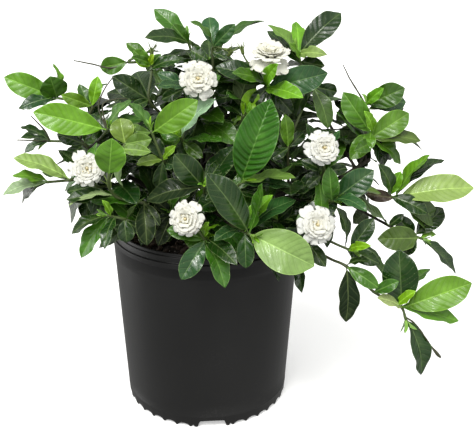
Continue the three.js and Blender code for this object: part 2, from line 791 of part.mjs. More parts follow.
function hiddenWhorls(shoot) {
  const bearing = radians(shoot.bearing);
  const slope = radians(shoot.slope);
  const out = vector(
    Math.sin(bearing) * Math.cos(slope) * CROWN_REACH[0],
    -Math.cos(bearing) * Math.cos(slope) * CROWN_REACH[1],
    Math.sin(slope) * CROWN_REACH[2],
  );
  const tip = vector(...CROWN_MIDDLE).addScaledVector(out, shoot.reach * 0.82);
  const ahead = out.clone().normalize().addScaledVector(Z, 0.45).normalize();
  return HIDDEN_WHORLS.map((whorl, index) => ({
    place: tip.clone().addScaledVector(ahead, -whorl.back),
    ahead,
    turn: index * 60,
    ...whorl,
  }));
}

// The whorls' places, the stem and the twig of every shoot, before any leaf grows.
function layOut(shoot) {
  const places = shoot.whorls
    ? shoot.whorls.map((whorl) => seen(whorl.at))
    : hiddenWhorls(shoot).map((whorl) => whorl.place);
  const from = forkPlace(shoot.bough, shoot.fork);
  const { wood, stem } = splitTwig(twigCurve(from, places[0]));
  const points = [...stem.slice(0, -1), ...places];
  let head = null;
  if (shoot.bloom) {
    const face = vector(...shoot.bloom.face).normalize();
    const base = seen(shoot.bloom.at).addScaledVector(face, -CORE_HEIGHT);
    head = { base, face, size: 1, radius: shoot.bloom.radius, spread: shoot.bloom.spread };
  } else if (shoot.bud) {
    const base = seen(shoot.bud.at);
    const face = base.clone().sub(places[places.length - 1]).normalize();
    head = { base, face, size: shoot.bud.size };
  }
  const last = points[points.length - 1];
  const beyond = last.clone().sub(points[points.length - 2]).setLength(STEM_END).add(last);
  points.push(head ? head.base.clone().addScaledVector(head.face, -CALYX_LENGTH * head.size) : beyond);
  return { shoot, places, wood, stem: points, head, blades: [] };
}

// A calyx is a small cup at the end of the stem, with narrow sepals round it.
const CALYX_LENGTH = 10;
const CALYX_RADIUS = 3.4;
const SEPALS = 5;
const SEPAL_LENGTH = 15;
const PLAIN_BLADE = { width: 2, arch: 0, fold: 0, wave: 0, phase: 0, form: SEPAL_FORM };

function facing(geometry, face, place) {
  geometry.applyQuaternion(new THREE.Quaternion().setFromUnitVectors(vector(0, 1, 0), face));
  return solid(geometry.translate(place.x, place.y, place.z));
}

function calyxSolids(head) {
  const size = head.size;
  const length = CALYX_LENGTH * size;
  const cup = new THREE.CylinderGeometry(CALYX_RADIUS * size, STEM_RADIUS * 1.1, length, 6);
  const middle = head.base.clone().addScaledVector(head.face, -length / 2 - GAP);
  const solids = [facing(cup, head.face, middle)];
  for (let i = 0; i < SEPALS; i += 1) {
    const out = around(head.face, (i * 360) / SEPALS);
    const root = head.base.clone().addScaledVector(head.face, -length * 0.6);
    const lean = head.size < 1 ? 0.9 : -0.55;
    const tip = root.clone().addScaledVector(out, SEPAL_LENGTH * (1 - Math.abs(lean) / 3));
    tip.addScaledVector(head.face, SEPAL_LENGTH * lean);
    solids.push(bladeSolid({ ...PLAIN_BLADE, root, tip, face: head.face }, []));
  }
  return solids;
}

// A bloom is a head of petals in layers, fused at a small core that sits on the calyx. Its spread
// is how far it has opened.
const WIDE = [0.45, 0.86];
const NARROW = [0.7];
const PETAL_LAYERS = [
  { count: 6, length: 1, width: 0.78, lean: 84, height: 0.25, arch: 0.14, fold: 0.05, stations: WIDE },
  { count: 5, length: 0.76, width: 0.66, lean: 68, height: 0.45, arch: 0.12, fold: 0.1, stations: NARROW },
  { count: 4, length: 0.56, width: 0.5, lean: 46, height: 0.65, arch: 0.08, fold: 0.16, stations: NARROW },
];
const PETAL_WAVE = 1.2;

function petals(head) {
  const list = [];
  PETAL_LAYERS.forEach((layer, index) => {
    for (let i = 0; i < layer.count; i += 1) {
      const out = around(head.face, ((i + index * 0.5) * 360) / layer.count + between(-3, 3));
      const lean = radians(layer.lean * head.spread + between(-4, 4));
      const root = head.base.clone().addScaledVector(head.face, layer.height * CORE_HEIGHT);
      root.addScaledVector(out, CORE_RADIUS * 0.45);
      const length = head.radius * layer.length * between(0.87, 1.06);
      const tip = root.clone().addScaledVector(out, length * Math.sin(lean));
      tip.addScaledVector(head.face, length * Math.cos(lean));
      const face = head.face.clone().multiplyScalar(Math.sin(lean)).addScaledVector(out, -Math.cos(lean));
      list.push({
        root, tip, face,
        width: head.radius * layer.width,
        arch: layer.arch, fold: layer.fold, wave: PETAL_WAVE, phase: draw(), form: PETAL_FORM,
        stations: layer.stations,
      });
    }
  });
  return list;
}

function makeBloom(name, head) {
  const core = new THREE.CylinderGeometry(CORE_RADIUS, CORE_RADIUS * 0.75, CORE_HEIGHT, 8);
  const middle = head.base.clone().addScaledVector(head.face, CORE_HEIGHT / 2);
  const solids = head.petals.map((petal) => bladeSolid(petal, petal.stations));
  solids.unshift(facing(core, head.face, middle));
  return mesh(name, wholeBody(join(solids)), { color: 0xf2f0ea, roughness: 0.55, metalness: 0 });
}

// The stamens lie like a star round the foot of the stigma, on the core.
const STAMENS = 5;

function stamensName(bloomName) {
  return bloomName.replace("bloom", "stamens");
}

function makeStamens(name, head) {
  const star = (height, inner, outer) =>
    Array.from({ length: 2 * STAMENS }, (_, i) => {
      const out = around(head.face, (i * 180) / STAMENS);
      const place = head.base.clone().addScaledVector(head.face, CORE_HEIGHT + GAP + height);
      return place.addScaledVector(out, i % 2 ? inner : outer);
    });
  const top = head.base.clone().addScaledVector(head.face, CORE_HEIGHT + 7);
  const cluster = solid(skin([star(0, 1.2, 1.6), star(3, 1.4, 3), [top]]));
  return mesh(name, cluster, { color: 0xcdb27a, roughness: 0.7, metalness: 0 });
}

// A leaf's blade from its whorl to the tip that the photograph shows. Its true width is never less
// than a share of its length, so a leaf that shows narrower than that is turned about its midrib.
const SLIMMEST = 0.4;
const ROOT_DEPTH = 1.3;
const WHORL_LEAVES = 3;
const WHORL_SPACING = 8;

// Where a whorl's leaf leaves the stem's middle line. Each three leaves stand a little lower.
function nodePlace(place, below, index) {
  const drop = Math.floor(index / WHORL_LEAVES) * WHORL_SPACING;
  return below.clone().sub(place).setLength(drop).add(place);
}

// A leaf's root is sunk in the stem, nearly through it.
function sunkRoot(node, tip) {
  return node.clone().sub(tip).setLength(ROOT_DEPTH).add(node);
}

function seenLeaf(node, [across, down, near, shows]) {
  const tip = seen([across, down, near]);
  const root = sunkRoot(node, tip);
  const middle = root.clone().lerp(tip, 0.5);
  const ahead = tip.clone().sub(root);
  const length = ahead.length();
  ahead.normalize();
  const shown = shows * pixelSize(middle);
  const width = Math.max(shown, SLIMMEST * length);
  const sight = EYE.clone().sub(middle).normalize();
  const flat = sight.clone().addScaledVector(ahead, -sight.dot(ahead)).normalize();
  const side = flat.clone().cross(ahead);
  const roll = Math.acos(Math.min(1, shown / width));
  const sense = side.z >= 0 ? 1 : -1;
  const face = flat.multiplyScalar(Math.cos(roll)).addScaledVector(side, sense * Math.sin(roll));
  return { root, tip, face, width, shift: sight };
}

function seenLeaves({ shoot, places, stem }) {
  return shoot.whorls.flatMap((whorl, order) => {
    const place = places[order];
    const below = stem[stem.indexOf(place) - 1];
    return whorl.leaves.map((row, index) => seenLeaf(nodePlace(place, below, index), row));
  });
}

// A whorl's leaves in a ring, as on the sides that the photograph doesn't show.
const UNSEEN_WIDTH = 0.44;

function hiddenLeaves(whorl) {
  const list = [];
  for (let i = 0; i < whorl.leaves; i += 1) {
    const out = around(whorl.ahead, (i * 360) / whorl.leaves + whorl.turn + between(-14, 14));
    const spread = radians(whorl.spread + between(-10, 12));
    const length = whorl.length * between(0.82, 1.12);
    const tip = whorl.place.clone().addScaledVector(out, length * Math.sin(spread));
    tip.addScaledVector(whorl.ahead, length * Math.cos(spread)).addScaledVector(Z, -0.1 * length);
    const face = whorl.ahead.clone().addScaledVector(Z, 0.7).normalize();
    const root = sunkRoot(whorl.place, tip);
    list.push({ root, tip, face, width: UNSEEN_WIDTH * length, shift: face, unseen: true });
  }
  return list;
}

// A leaf that has no room is bent until it has: its tip is moved along its shift, its middle is
// arched more or less, and at last it is grown shorter. With no room at all it isn't grown.
const BENDS = [
  [0, 0, 1], [12, 0, 1], [-12, 0, 1], [0, 0.08, 1], [0, -0.1, 1], [24, 0, 1], [-24, 0, 1], [14, 0.08, 1],
  [-14, 0.08, 1], [14, -0.1, 1], [-14, -0.1, 1], [38, 0, 1], [-38, 0, 1], [30, -0.12, 1], [-30, 0.14, 1],
  [0, 0, 0.85], [18, 0, 0.85], [-18, 0, 0.85], [0, 0, 0.7], [24, 0, 0.7], [-24, 0, 0.7],
];
const LEAF_ARCH = 0.09;
const LEAF_FOLD = 0.13;
const LEAF_WAVE = 1.8;
const UNSEEN_STATIONS = [0.5];
const LEAF_STATIONS = [
  { widest: 30, stations: [0.52] },
  { widest: 46, stations: [0.4, 0.78] },
  { widest: Infinity, stations: [0.1, 0.3, 0.55, 0.82] },
];

function leafSolid(blade) {
  const { stations } = LEAF_STATIONS.find(({ widest }) => blade.width <= widest);
  return bladeSolid(blade, blade.unseen ? UNSEEN_STATIONS : stations);
}

const CROWDED = 0.45;

function bent(leaf, [shift, bow, share], arch, phase) {
  const tip = leaf.root.clone().lerp(leaf.tip, share).addScaledVector(leaf.shift, shift);
  return {
    root: leaf.root, tip, face: leaf.face, unseen: leaf.unseen,
    width: leaf.width * share,
    arch: arch + bow, fold: LEAF_FOLD, wave: LEAF_WAVE, phase, form: LEAF_FORM,
  };
}

// The crowded part of a leaf, next to the stem, may touch its own shoot. The rest keeps clear of
// the shoot's other leaves too, unless mayCross lets it grow through them where nothing else fits.
function grow(leaf, owner, mayCross) {
  const phase = draw();
  const arch = LEAF_ARCH * between(0.6, 1.5);
  const ownShoot = (holder) => holder.startsWith(owner);
  const ownStem = (holder) => holder === owner;
  for (const outerAllows of mayCross ? [ownStem, ownShoot] : [ownStem]) {
    for (const bend of BENDS) {
      const blade = bent(leaf, bend, arch, phase);
      const inner = bladePlaces(blade, 0.08, CROWDED);
      const outer = bladePlaces(blade, CROWDED);
      if (isClear(inner, ownShoot) && isClear(outer, outerAllows)) {
        take(inner, owner);
        take(outer, owner + " leaf");
        return blade;
      }
    }
  }
  return null;
}

// Places along a curve, for taking up room.
function curvePlaces(curve) {
  return curve.getSpacedPoints(Math.ceil(curve.getLength() / 4));
}

function makeBoughs(shoots) {
  return BOUGHS.map((bough) => {
    const curve = BOUGH_CURVES.get(bough.name);
    const twigs = shoots.filter(({ shoot }) => shoot.bough === bough.name);
    const solids = twigs.map(({ wood }) => stemSolid(curveThrough(wood), TWIG_RADIUS, STEM_RADIUS, 3));
    solids.unshift(stemSolid(curve, BOUGH_RADIUS, BOUGH_END_RADIUS, 5));
    return mesh(bough.name, wholeBody(join(solids)), { color: 0x6b5d4a, roughness: 0.85, metalness: 0 });
  });
}

function makeShoot({ shoot, stem, head, blades }) {
  const solids = [stemSolid(curveThrough(stem), STEM_RADIUS, STEM_END_RADIUS, 4)];
  if (head) solids.push(...calyxSolids(head));
  solids.push(...blades.map(leafSolid));
  return mesh(shoot.name, wholeBody(join(solids)), { color: 0x2f6b2a, roughness: 0.35, metalness: 0 });
}

// Grows leaves in a given order, each on its own shoot.
function growAll(waiting, mayCross) {
  for (const { laid, leaf } of waiting) {
    const blade = grow(leaf, laid.shoot.name, mayCross);
    if (blade) laid.blades.push(blade);
  }
}

// Room is taken by the wood and stems first, then by the blooms, the leaves that the photograph
// shows, from the widest down, and at last by the leaves of the hidden shoots.
function growPlant() {
  const shoots = [...SHOOTS, ...HIDDEN_SHOOTS].map(layOut);
  for (const bough of BOUGHS) take(curvePlaces(BOUGH_CURVES.get(bough.name)), bough.name);
  for (const { shoot, wood, stem } of shoots) {
    take(curvePlaces(curveThrough(wood)), shoot.bough);
    take(curvePlaces(curveThrough(stem)), shoot.name);
  }
  for (const { shoot, head } of shoots) {
    if (!shoot.bloom) continue;
    head.petals = petals(head);
    for (const petal of head.petals) take(bladePlaces(petal), shoot.bloom.name);
  }
  const shown = shoots.filter(({ shoot }) => shoot.whorls);
  const hidden = shoots.filter(({ shoot }) => !shoot.whorls);
  const each = (list, leavesOf) => list.flatMap((laid) => leavesOf(laid).map((leaf) => ({ laid, leaf })));
  const widestFirst = each(shown, seenLeaves).sort((a, b) => b.leaf.width - a.leaf.width);
  growAll(widestFirst, true);
  growAll(each(hidden, ({ shoot }) => hiddenWhorls(shoot).flatMap(hiddenLeaves)), false);
  return shoots;
}

const shoots = growPlant();
const flowering = shoots.filter(({ shoot }) => shoot.bloom);

const plant = new THREE.Group();
plant.add(makePot(), makeSoil());
plant.add(...makeBoughs(shoots));
plant.add(...shoots.map(makeShoot));
plant.add(...flowering.map(({ shoot, head }) => makeBloom(shoot.bloom.name, head)));
plant.add(...flowering.map(({ shoot, head }) => makeStamens(stamensName(shoot.bloom.name), head)));

export default plant;
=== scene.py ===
# A potted gardenia: a black nursery pot of bark mix with a bushy, whorl-leaved plant in it, carrying six
# double white blooms. The layout is worked out in millimetres and every mesh is made in metres.
import math

import bpy
import numpy as np
from mathutils import Matrix


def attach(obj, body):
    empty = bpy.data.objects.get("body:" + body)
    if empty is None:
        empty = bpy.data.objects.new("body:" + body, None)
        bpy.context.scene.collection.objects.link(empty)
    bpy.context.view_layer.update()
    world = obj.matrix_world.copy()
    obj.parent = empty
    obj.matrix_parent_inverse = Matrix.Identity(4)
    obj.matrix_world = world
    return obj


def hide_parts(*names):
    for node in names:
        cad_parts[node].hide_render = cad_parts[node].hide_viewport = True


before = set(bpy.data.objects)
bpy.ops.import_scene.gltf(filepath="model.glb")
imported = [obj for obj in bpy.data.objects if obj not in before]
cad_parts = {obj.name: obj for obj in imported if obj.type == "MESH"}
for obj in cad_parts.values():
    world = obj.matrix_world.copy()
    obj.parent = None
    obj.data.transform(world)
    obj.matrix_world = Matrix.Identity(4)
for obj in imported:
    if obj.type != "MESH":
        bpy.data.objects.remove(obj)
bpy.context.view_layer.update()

scene = bpy.context.scene


# The viewpoint. The photograph was taken from a little above the plant, about a metre in front of it.
# Places in the plant are read through this same eye: pixels across and down, and mm in front of the pot's
# axis.
EYE = np.array([0.0, -1050.0, 650.0])
EYE_PITCH = math.radians(19.74)
EYE_YAW = math.radians(2.46)
EYE_ROLL = math.radians(0.37)
EYE_FOCAL = 786.8
PICTURE = (476, 430)
SENSOR_WIDTH = 36.0
MM_PER_METRE = 1000
Z = np.array([0.0, 0.0, 1.0])


def size_of(v):
    return math.sqrt(float(v @ v))


def unit(v):
    return v / size_of(v)


def eye_axes():
    level_ahead = math.cos(EYE_PITCH)
    ahead = np.array([math.sin(EYE_YAW) * level_ahead, math.cos(EYE_YAW) * level_ahead, -math.sin(EYE_PITCH)])
    level = unit(np.cross(ahead, Z))
    upright = np.cross(level, ahead)
    right = level * math.cos(EYE_ROLL) + upright * math.sin(EYE_ROLL)
    up = upright * math.cos(EYE_ROLL) - level * math.sin(EYE_ROLL)
    return ahead, right, up


AHEAD, RIGHT, UP = eye_axes()


def seen(place):
    across, down, near = place
    ray = AHEAD + RIGHT * ((across - PICTURE[0] / 2) / EYE_FOCAL)
    ray = ray + UP * ((PICTURE[1] / 2 - down) / EYE_FOCAL)
    return EYE + ray * ((-near - EYE[1]) / ray[1])


def pixel_size(place):
    return float((place - EYE) @ AHEAD) / EYE_FOCAL


camera_data = bpy.data.cameras.new("photo_camera")
camera_data.sensor_width = SENSOR_WIDTH
camera_data.lens = EYE_FOCAL * SENSOR_WIDTH / PICTURE[0]
camera = bpy.data.objects.new("photo_camera", camera_data)
scene.collection.objects.link(camera)
camera_rows = [[RIGHT[i], UP[i], -AHEAD[i], EYE[i] / MM_PER_METRE] for i in range(3)]
camera.matrix_world = Matrix(camera_rows + [[0, 0, 0, 1]])
scene.camera = camera


# The pot. A thin black polyethylene nursery pot, blown in one piece: a tapering wall, a lip with two steps
# above its widest edge, a row of round lobes under its foot, and wide drain openings cut into the foot.
POT_HEIGHT = 263.0
LIP_RADIUS = 131.5
FOOT_RADIUS = 117.0
WALL = 2.4
LIP_HEIGHT = 251.0
LIP_STEP_HEIGHT = 8.0
LIP_STEP_IN = 3.5
RIM_STEP_IN = 2.5
RIM_DEPTH = 24.0
GUTTER_HEIGHT = 12.0
FLOOR_THICKNESS = 2.5
MIDDLE_RADIUS = 2.0
FOOT_IN = 1.6
FOOT_BLEND = 4.0
LEDGE = 0.25
WALL_RINGS = 12
CORNER_POINTS = 4
PAD_RADIUS = 90.0
LOBES = 36
LOBE_RISE = 4.2
LOBE_SHARE = 0.42
LOBE_POINTS = 12
DRAINS = 3
DRAIN_WIDTH = 42.0
DRAIN_HEIGHT = 10.0
DRAIN_ARCH = 1.4
DRAIN_CORNER = 4.0
DRAIN_TURN = 3.0


class Skins:
    """Closed skins for one mesh, each a row of rings between two end points, with marks at each point."""

    def __init__(self, names=()):
        self.names = names
        self.points, self.corners, self.sizes, self.slots, self.marks, self.sharp = [], [], [], [], [], []
        self.count = 0

    def add_rings(self, rings, slots, marks, foot, tip, end_marks=None, sharp_columns=()):
        rows, columns = rings.shape[:2]
        count = rows * columns
        width = sum(width for _, width in self.names)
        marks = np.broadcast_to(marks, (rows, columns, width))
        end_marks = marks[[0, -1], 0] if end_marks is None else end_marks
        index = np.arange(count).reshape(rows, columns)
        beside = np.roll(index, -1, axis=1)
        quads = np.stack([index[:-1], beside[:-1], beside[1:], index[1:]], axis=-1).reshape(-1, 4)
        foot_fan = np.stack([beside[0], index[0], np.full(columns, count)], axis=-1)
        tip_fan = np.stack([np.full(columns, count + 1), index[-1], beside[-1]], axis=-1)
        for faces in (quads, foot_fan, tip_fan):
            self.corners.append((faces + self.count).ravel())
            self.sizes.append(np.full(len(faces), faces.shape[1], dtype=np.int32))
        sharp = np.zeros(count + 2, dtype=bool)
        sharp[index[:, list(sharp_columns)]] = True
        self.sharp.append(sharp)
        self.points.append(np.concatenate([rings.reshape(-1, 3), [foot, tip]]))
        self.marks.append(np.concatenate([marks.reshape(count, width), end_marks]))
        self.slots.append(np.tile(np.broadcast_to(slots, columns), rows + 1))
        self.count += count + 2


def make_piece(name, skins, materials, replaced=()):
    """One mesh from the gathered skins, in metres, riding on the plant's only body."""
    points = np.concatenate(skins.points) / MM_PER_METRE
    corners = np.concatenate(skins.corners)
    sizes = np.concatenate(skins.sizes)
    mesh = bpy.data.meshes.new(name)
    mesh.vertices.add(len(points))
    mesh.vertices.foreach_set("co", points.astype(np.float32).ravel())
    mesh.loops.add(len(corners))
    mesh.loops.foreach_set("vertex_index", corners.astype(np.int32))
    mesh.polygons.add(len(sizes))
    starts = np.concatenate([[0], np.cumsum(sizes)[:-1]]).astype(np.int32)
    mesh.polygons.foreach_set("loop_start", starts)
    mesh.polygons.foreach_set("material_index", np.concatenate(skins.slots).astype(np.int32))
    mesh.update(calc_edges=True)
    marks = np.concatenate(skins.marks).astype(np.float32)
    column = 0
    for mark, width in skins.names:
        kind, field = ("FLOAT_VECTOR", "vector") if width == 3 else ("FLOAT", "value")
        attribute = mesh.attributes.new(mark, kind, "POINT")
        attribute.data.foreach_set(field, marks[:, column:column + width].ravel())
        column += width
    ends = np.zeros(2 * len(mesh.edges), dtype=np.int32)
    mesh.edges.foreach_get("vertices", ends)
    crease = np.concatenate(skins.sharp)[ends.reshape(-1, 2)].all(axis=1)
    mesh.attributes.new("sharp_edge", "BOOLEAN", "EDGE").data.foreach_set("value", crease)
    for material in materials:
        mesh.materials.append(material)
    mesh.validate()
    piece = bpy.data.objects.new(name, mesh)
    scene.collection.objects.link(piece)
    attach(piece, "root")
    if replaced:
        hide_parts(*replaced)


def add_node(tree, kind, inputs=None, **settings):
    """A shader node, with each input linked to a socket or set to a value."""
    made = tree.nodes.new(kind)
    for key, value in settings.items():
        setattr(made, key, value)
    for key, value in (inputs or {}).items():
        socket = made.inputs[key]
        if isinstance(value, bpy.types.NodeSocket):
            tree.links.new(value, socket)
        else:
            socket.default_value = (*value, 1.0) if socket.type == "RGBA" else value
    return made


def math_node(tree, operation, *values):
    return add_node(tree, "ShaderNodeMath", dict(enumerate(values)), operation=operation).outputs[0]


def scaled(tree, value, factor, offset=0.0):
    return math_node(tree, "MULTIPLY_ADD", value, factor, offset)


def ramp(tree, value, low, high):
    """A smooth step of a value, from 0 at the first limit to 1 at the second."""
    inputs = {"Value": value, "From Min": low, "From Max": high}
    return add_node(tree, "ShaderNodeMapRange", inputs, interpolation_type="SMOOTHSTEP").outputs["Result"]


def mix_colour(tree, share, first, second):
    return add_node(tree, "ShaderNodeMix", {0: share, 6: first, 7: second}, data_type="RGBA").outputs[2]


def noise(tree, place, scale, detail=3.0, roughness=0.55):
    inputs = {"Vector": place, "Scale": scale, "Detail": detail, "Roughness": roughness}
    return add_node(tree, "ShaderNodeTexNoise", inputs).outputs["Fac"]


def object_place(tree):
    return add_node(tree, "ShaderNodeTexCoord").outputs["Object"]


def stretched(tree, place, *scale):
    return add_node(tree, "ShaderNodeMapping", {0: place, "Scale": scale}).outputs[0]


def new_material(name):
    material = bpy.data.materials.new(name)
    material.use_nodes = True
    material.node_tree.nodes.clear()
    return material, material.node_tree


def finish_material(tree, colour, roughness, normal, **more):
    inputs = {"Base Color": colour, "Roughness": roughness, "Normal": normal, **more}
    shader = add_node(tree, "ShaderNodeBsdfPrincipled", inputs)
    add_node(tree, "ShaderNodeOutputMaterial", {"Surface": shader.outputs[0]})


def bump(tree, height, strength, distance, normal=None):
    inputs = {"Height": height, "Strength": strength, "Distance": distance}
    if normal:
        inputs["Normal"] = normal
    return add_node(tree, "ShaderNodeBump", inputs).outputs["Normal"]


def new_group(name, given, results):
    group = bpy.data.node_groups.new(name, "ShaderNodeTree")
    for side, sockets in (("INPUT", given), ("OUTPUT", results)):
        for socket in sockets:
            kind = "NodeSocketVector" if socket == "Place" else "NodeSocketFloat"
            group.interface.new_socket(socket, in_out=side, socket_type=kind)
    return group, group.nodes.new("NodeGroupInput").outputs


def grime_group():
    """Dried splashes and dust: a mask of fine specks inside loose patches."""
    group, given = new_group("grime", ("Place", "Patch Scale", "Speck Scale", "Amount"), ("Mask",))
    patches = ramp(group, noise(group, given["Place"], given["Patch Scale"]), 0.42, 0.72)
    specks = ramp(group, noise(group, given["Place"], given["Speck Scale"], 5.0, 0.7), 0.52, 0.68)
    mask = scaled(group, scaled(group, patches, specks), given["Amount"])
    add_node(group, "NodeGroupOutput", {"Mask": mask})
    return group


GRIME = grime_group()


def grime(tree, place, patch_scale, speck_scale, amount):
    inputs = {"Place": place, "Patch Scale": patch_scale, "Speck Scale": speck_scale, "Amount": amount}
    return add_node(tree, "ShaderNodeGroup", inputs, node_tree=GRIME).outputs["Mask"]


def moulded_black():
    material, tree = new_material("moulded_black_plastic")
    place = object_place(tree)
    height = add_node(tree, "ShaderNodeSeparateXYZ", {0: place}).outputs["Z"]
    cloud = noise(tree, place, 9.0)
    colour = mix_colour(tree, cloud, (0.008, 0.008, 0.008), (0.013, 0.013, 0.013))
    near_foot = ramp(tree, height, 0.07, 0.0)
    dust = scaled(tree, grime(tree, place, 14.0, 420.0, 0.55), scaled(tree, near_foot, 0.8, 0.2))
    colour = mix_colour(tree, dust, colour, (0.07, 0.068, 0.065))
    streaks = noise(tree, stretched(tree, place, 1.0, 1.0, 0.04), 180.0, 4.0)
    roughness = scaled(tree, dust, 0.5, scaled(tree, streaks, 0.10, 0.36))
    normal = bump(tree, noise(tree, place, 1500.0, 2.0), 0.12, 0.0004)
    normal = bump(tree, cloud, 0.25, 0.0015, normal)
    finish_material(tree, colour, roughness, normal, **{"Specular IOR Level": 0.3})
    return material


def wall_radius(z):
    return FOOT_RADIUS + (LIP_RADIUS - FOOT_RADIUS) / LIP_HEIGHT * z


def rounded(outline, radius):
    """An outline of (radius, height) corners with each corner rounded off."""
    corners = np.array(outline, dtype=float)
    path = [corners[0]]
    for before, corner, after in zip(corners[:-2], corners[1:-1], corners[2:]):
        to_before = before - corner
        to_after = after - corner
        reach = min(radius, 0.45 * np.hypot(*to_before), 0.45 * np.hypot(*to_after))
        start = corner + to_before / np.hypot(*to_before) * reach
        end = corner + to_after / np.hypot(*to_after) * reach
        for share in np.linspace(0, 1, CORNER_POINTS):
            path.append((1 - share) ** 2 * start + 2 * share * (1 - share) * corner + share ** 2 * end)
    path.append(corners[-1])
    return np.array(path)


def foot_rise(angle):
    """How far the foot's edge is raised at an angle from the front: between the lobes and in the drains."""
    turn = (angle - math.radians(DRAIN_TURN)) % (2 * math.pi)
    pitch = 2 * math.pi / LOBES
    off_gap = np.abs((turn + pitch / 2) % pitch - pitch / 2) / (pitch * LOBE_SHARE)
    rise = LOBE_RISE * np.sqrt(np.clip(1 - off_gap ** 2, 0, 1))
    spacing = 2 * math.pi / DRAINS
    off_drain = np.abs((turn + spacing / 2) % spacing - spacing / 2) * FOOT_RADIUS
    slope = (DRAIN_WIDTH / 2 - off_drain) / DRAIN_CORNER
    bow = np.cos(np.clip(off_drain / DRAIN_WIDTH * math.pi, 0, math.pi / 2))
    arch = DRAIN_HEIGHT + DRAIN_ARCH * bow - DRAIN_ARCH
    in_drain = np.clip(slope, 0, 1)
    in_drain = in_drain * in_drain * (3 - 2 * in_drain)
    near_drain = off_drain < DRAIN_WIDTH / 2 + 5
    return np.where(near_drain, arch * in_drain, rise)


def make_pot():
    step_top = LIP_HEIGHT + LIP_STEP_HEIGHT
    rim_foot = POT_HEIGHT - RIM_DEPTH
    step_radius = LIP_RADIUS - LIP_STEP_IN
    rim_radius = step_radius - RIM_STEP_IN
    floor_top = GUTTER_HEIGHT + FLOOR_THICKNESS
    foot_top = GUTTER_HEIGHT + FOOT_BLEND
    outer = rounded([
        (FOOT_RADIUS - FOOT_IN, 0), (FOOT_RADIUS, 2 * FOOT_IN), (wall_radius(foot_top), foot_top),
        (wall_radius(foot_top) + LEDGE, foot_top + 1), (wall_radius(LIP_HEIGHT - 6), LIP_HEIGHT - 6),
        (LIP_RADIUS - 0.1, LIP_HEIGHT - 2), (LIP_RADIUS, LIP_HEIGHT), (step_radius, LIP_HEIGHT),
        (step_radius, step_top), (rim_radius, step_top), (rim_radius, POT_HEIGHT),
        (rim_radius - WALL, POT_HEIGHT), (wall_radius(rim_foot) - WALL, rim_foot),
        (wall_radius(floor_top) - WALL, floor_top), (PAD_RADIUS - WALL, floor_top),
        (PAD_RADIUS - WALL, FLOOR_THICKNESS), (MIDDLE_RADIUS, FLOOR_THICKNESS),
    ], 1.3)
    under = rounded([
        (MIDDLE_RADIUS, 0), (PAD_RADIUS, 0), (PAD_RADIUS, GUTTER_HEIGHT), (FOOT_RADIUS - WALL, GUTTER_HEIGHT),
        (FOOT_RADIUS - WALL - 0.4, 2), (FOOT_RADIUS - FOOT_IN, 0),
    ], 1.0)
    wall_levels = np.linspace(foot_top + 1.5, LIP_HEIGHT - 7, WALL_RINGS)
    split = int(np.argmax(outer[:, 1] > foot_top + 1.2))
    wall = np.stack([wall_radius(wall_levels), wall_levels], axis=1)
    outline = np.concatenate([under[:-1], outer[:split], wall, outer[split + 1:]])
    angles = np.arange(LOBES * LOBE_POINTS) * (2 * math.pi / (LOBES * LOBE_POINTS))
    lift = foot_rise(angles)[None, :]
    radius, height = outline[:, 0][:, None], outline[:, 1][:, None]
    on_foot = (radius > PAD_RADIUS + 2) & (height < foot_top)
    raised = lift + height * (foot_top - lift) / foot_top
    heights = np.where(on_foot, np.minimum(raised, np.maximum(height, foot_top)), height)
    heights = np.where(on_foot & (radius < FOOT_RADIUS - WALL + 0.2), np.maximum(height, lift), heights)
    rings = np.stack([radius * np.sin(angles), -radius * np.cos(angles), heights + 0 * angles], axis=-1)
    skins = Skins()
    skins.add_rings(rings, 0, (), (0, 0, 0), (0, 0, FLOOR_THICKNESS))
    make_piece("nursery_pot", skins, [moulded_black()], ["pot"])


make_pot()


# The potting mix. Dark, moist peat with chips of composted bark and a little grit, filled in loosely to a
# finger's width under the pot's lip and heaped slightly round the stems.
SOIL_TOP = 236.0
SOIL_RISE = 8.0
SOIL_GAP = 0.3
BARK_CHIPS = 420
GRIT = 90
CHIP_SIDES = 8
CHIP_WIDTHS = (0.55, 0.95, 1.0, 0.6)
CHIP_LEVELS = (-0.5, -0.28, 0.22, 0.5)
SOIL_SPOKES = 120
SOIL_RINGS = 46
LUMP_WAVES = 9
soil_rng = np.random.default_rng(411)


def lumpy(points, size, seed):
    """Smooth random heights at places, between about -1 and 1, with lumps of one size."""
    rng = np.random.default_rng(seed)
    total = np.zeros(points.shape[:-1])
    for _ in range(LUMP_WAVES):
        direction = rng.normal(size=3)
        direction *= 2 * math.pi / size / size_of(direction)
        stretch = rng.uniform(0.6, 1.7)
        total += np.sin(points @ (direction * stretch) + rng.uniform(0, 2 * math.pi))
    return total / 3.5


def soil_height(x, y):
    radius = np.hypot(x, y)
    edge, middle = wall_radius(SOIL_TOP), LIP_RADIUS * 0.6
    rise = np.where(radius < middle, 1 - 0.4 * radius / middle, 0.6 * (edge - radius) / (edge - middle))
    return SOIL_TOP + SOIL_RISE * rise


def potting_mix():
    material, tree = new_material("potting_mix")
    place = object_place(tree)
    clods = noise(tree, place, 160.0, 6.0, 0.65)
    grains = noise(tree, place, 900.0, 4.0, 0.7)
    colour = mix_colour(tree, clods, (0.007, 0.005, 0.003), (0.028, 0.018, 0.011))
    colour = mix_colour(tree, ramp(tree, grains, 0.55, 0.75), colour, (0.05, 0.034, 0.022))
    dust = grime(tree, place, 30.0, 700.0, 0.35)
    colour = mix_colour(tree, dust, colour, (0.10, 0.09, 0.075))
    roughness = scaled(tree, grains, 0.2, 0.78)
    normal = bump(tree, grains, 0.7, 0.0008, bump(tree, clods, 0.8, 0.002))
    finish_material(tree, colour, roughness, normal)
    return material


def mark(tree, name, output="Fac"):
    """The marks of one name that are kept at a mesh's points."""
    return add_node(tree, "ShaderNodeAttribute", attribute_name=name).outputs[output]


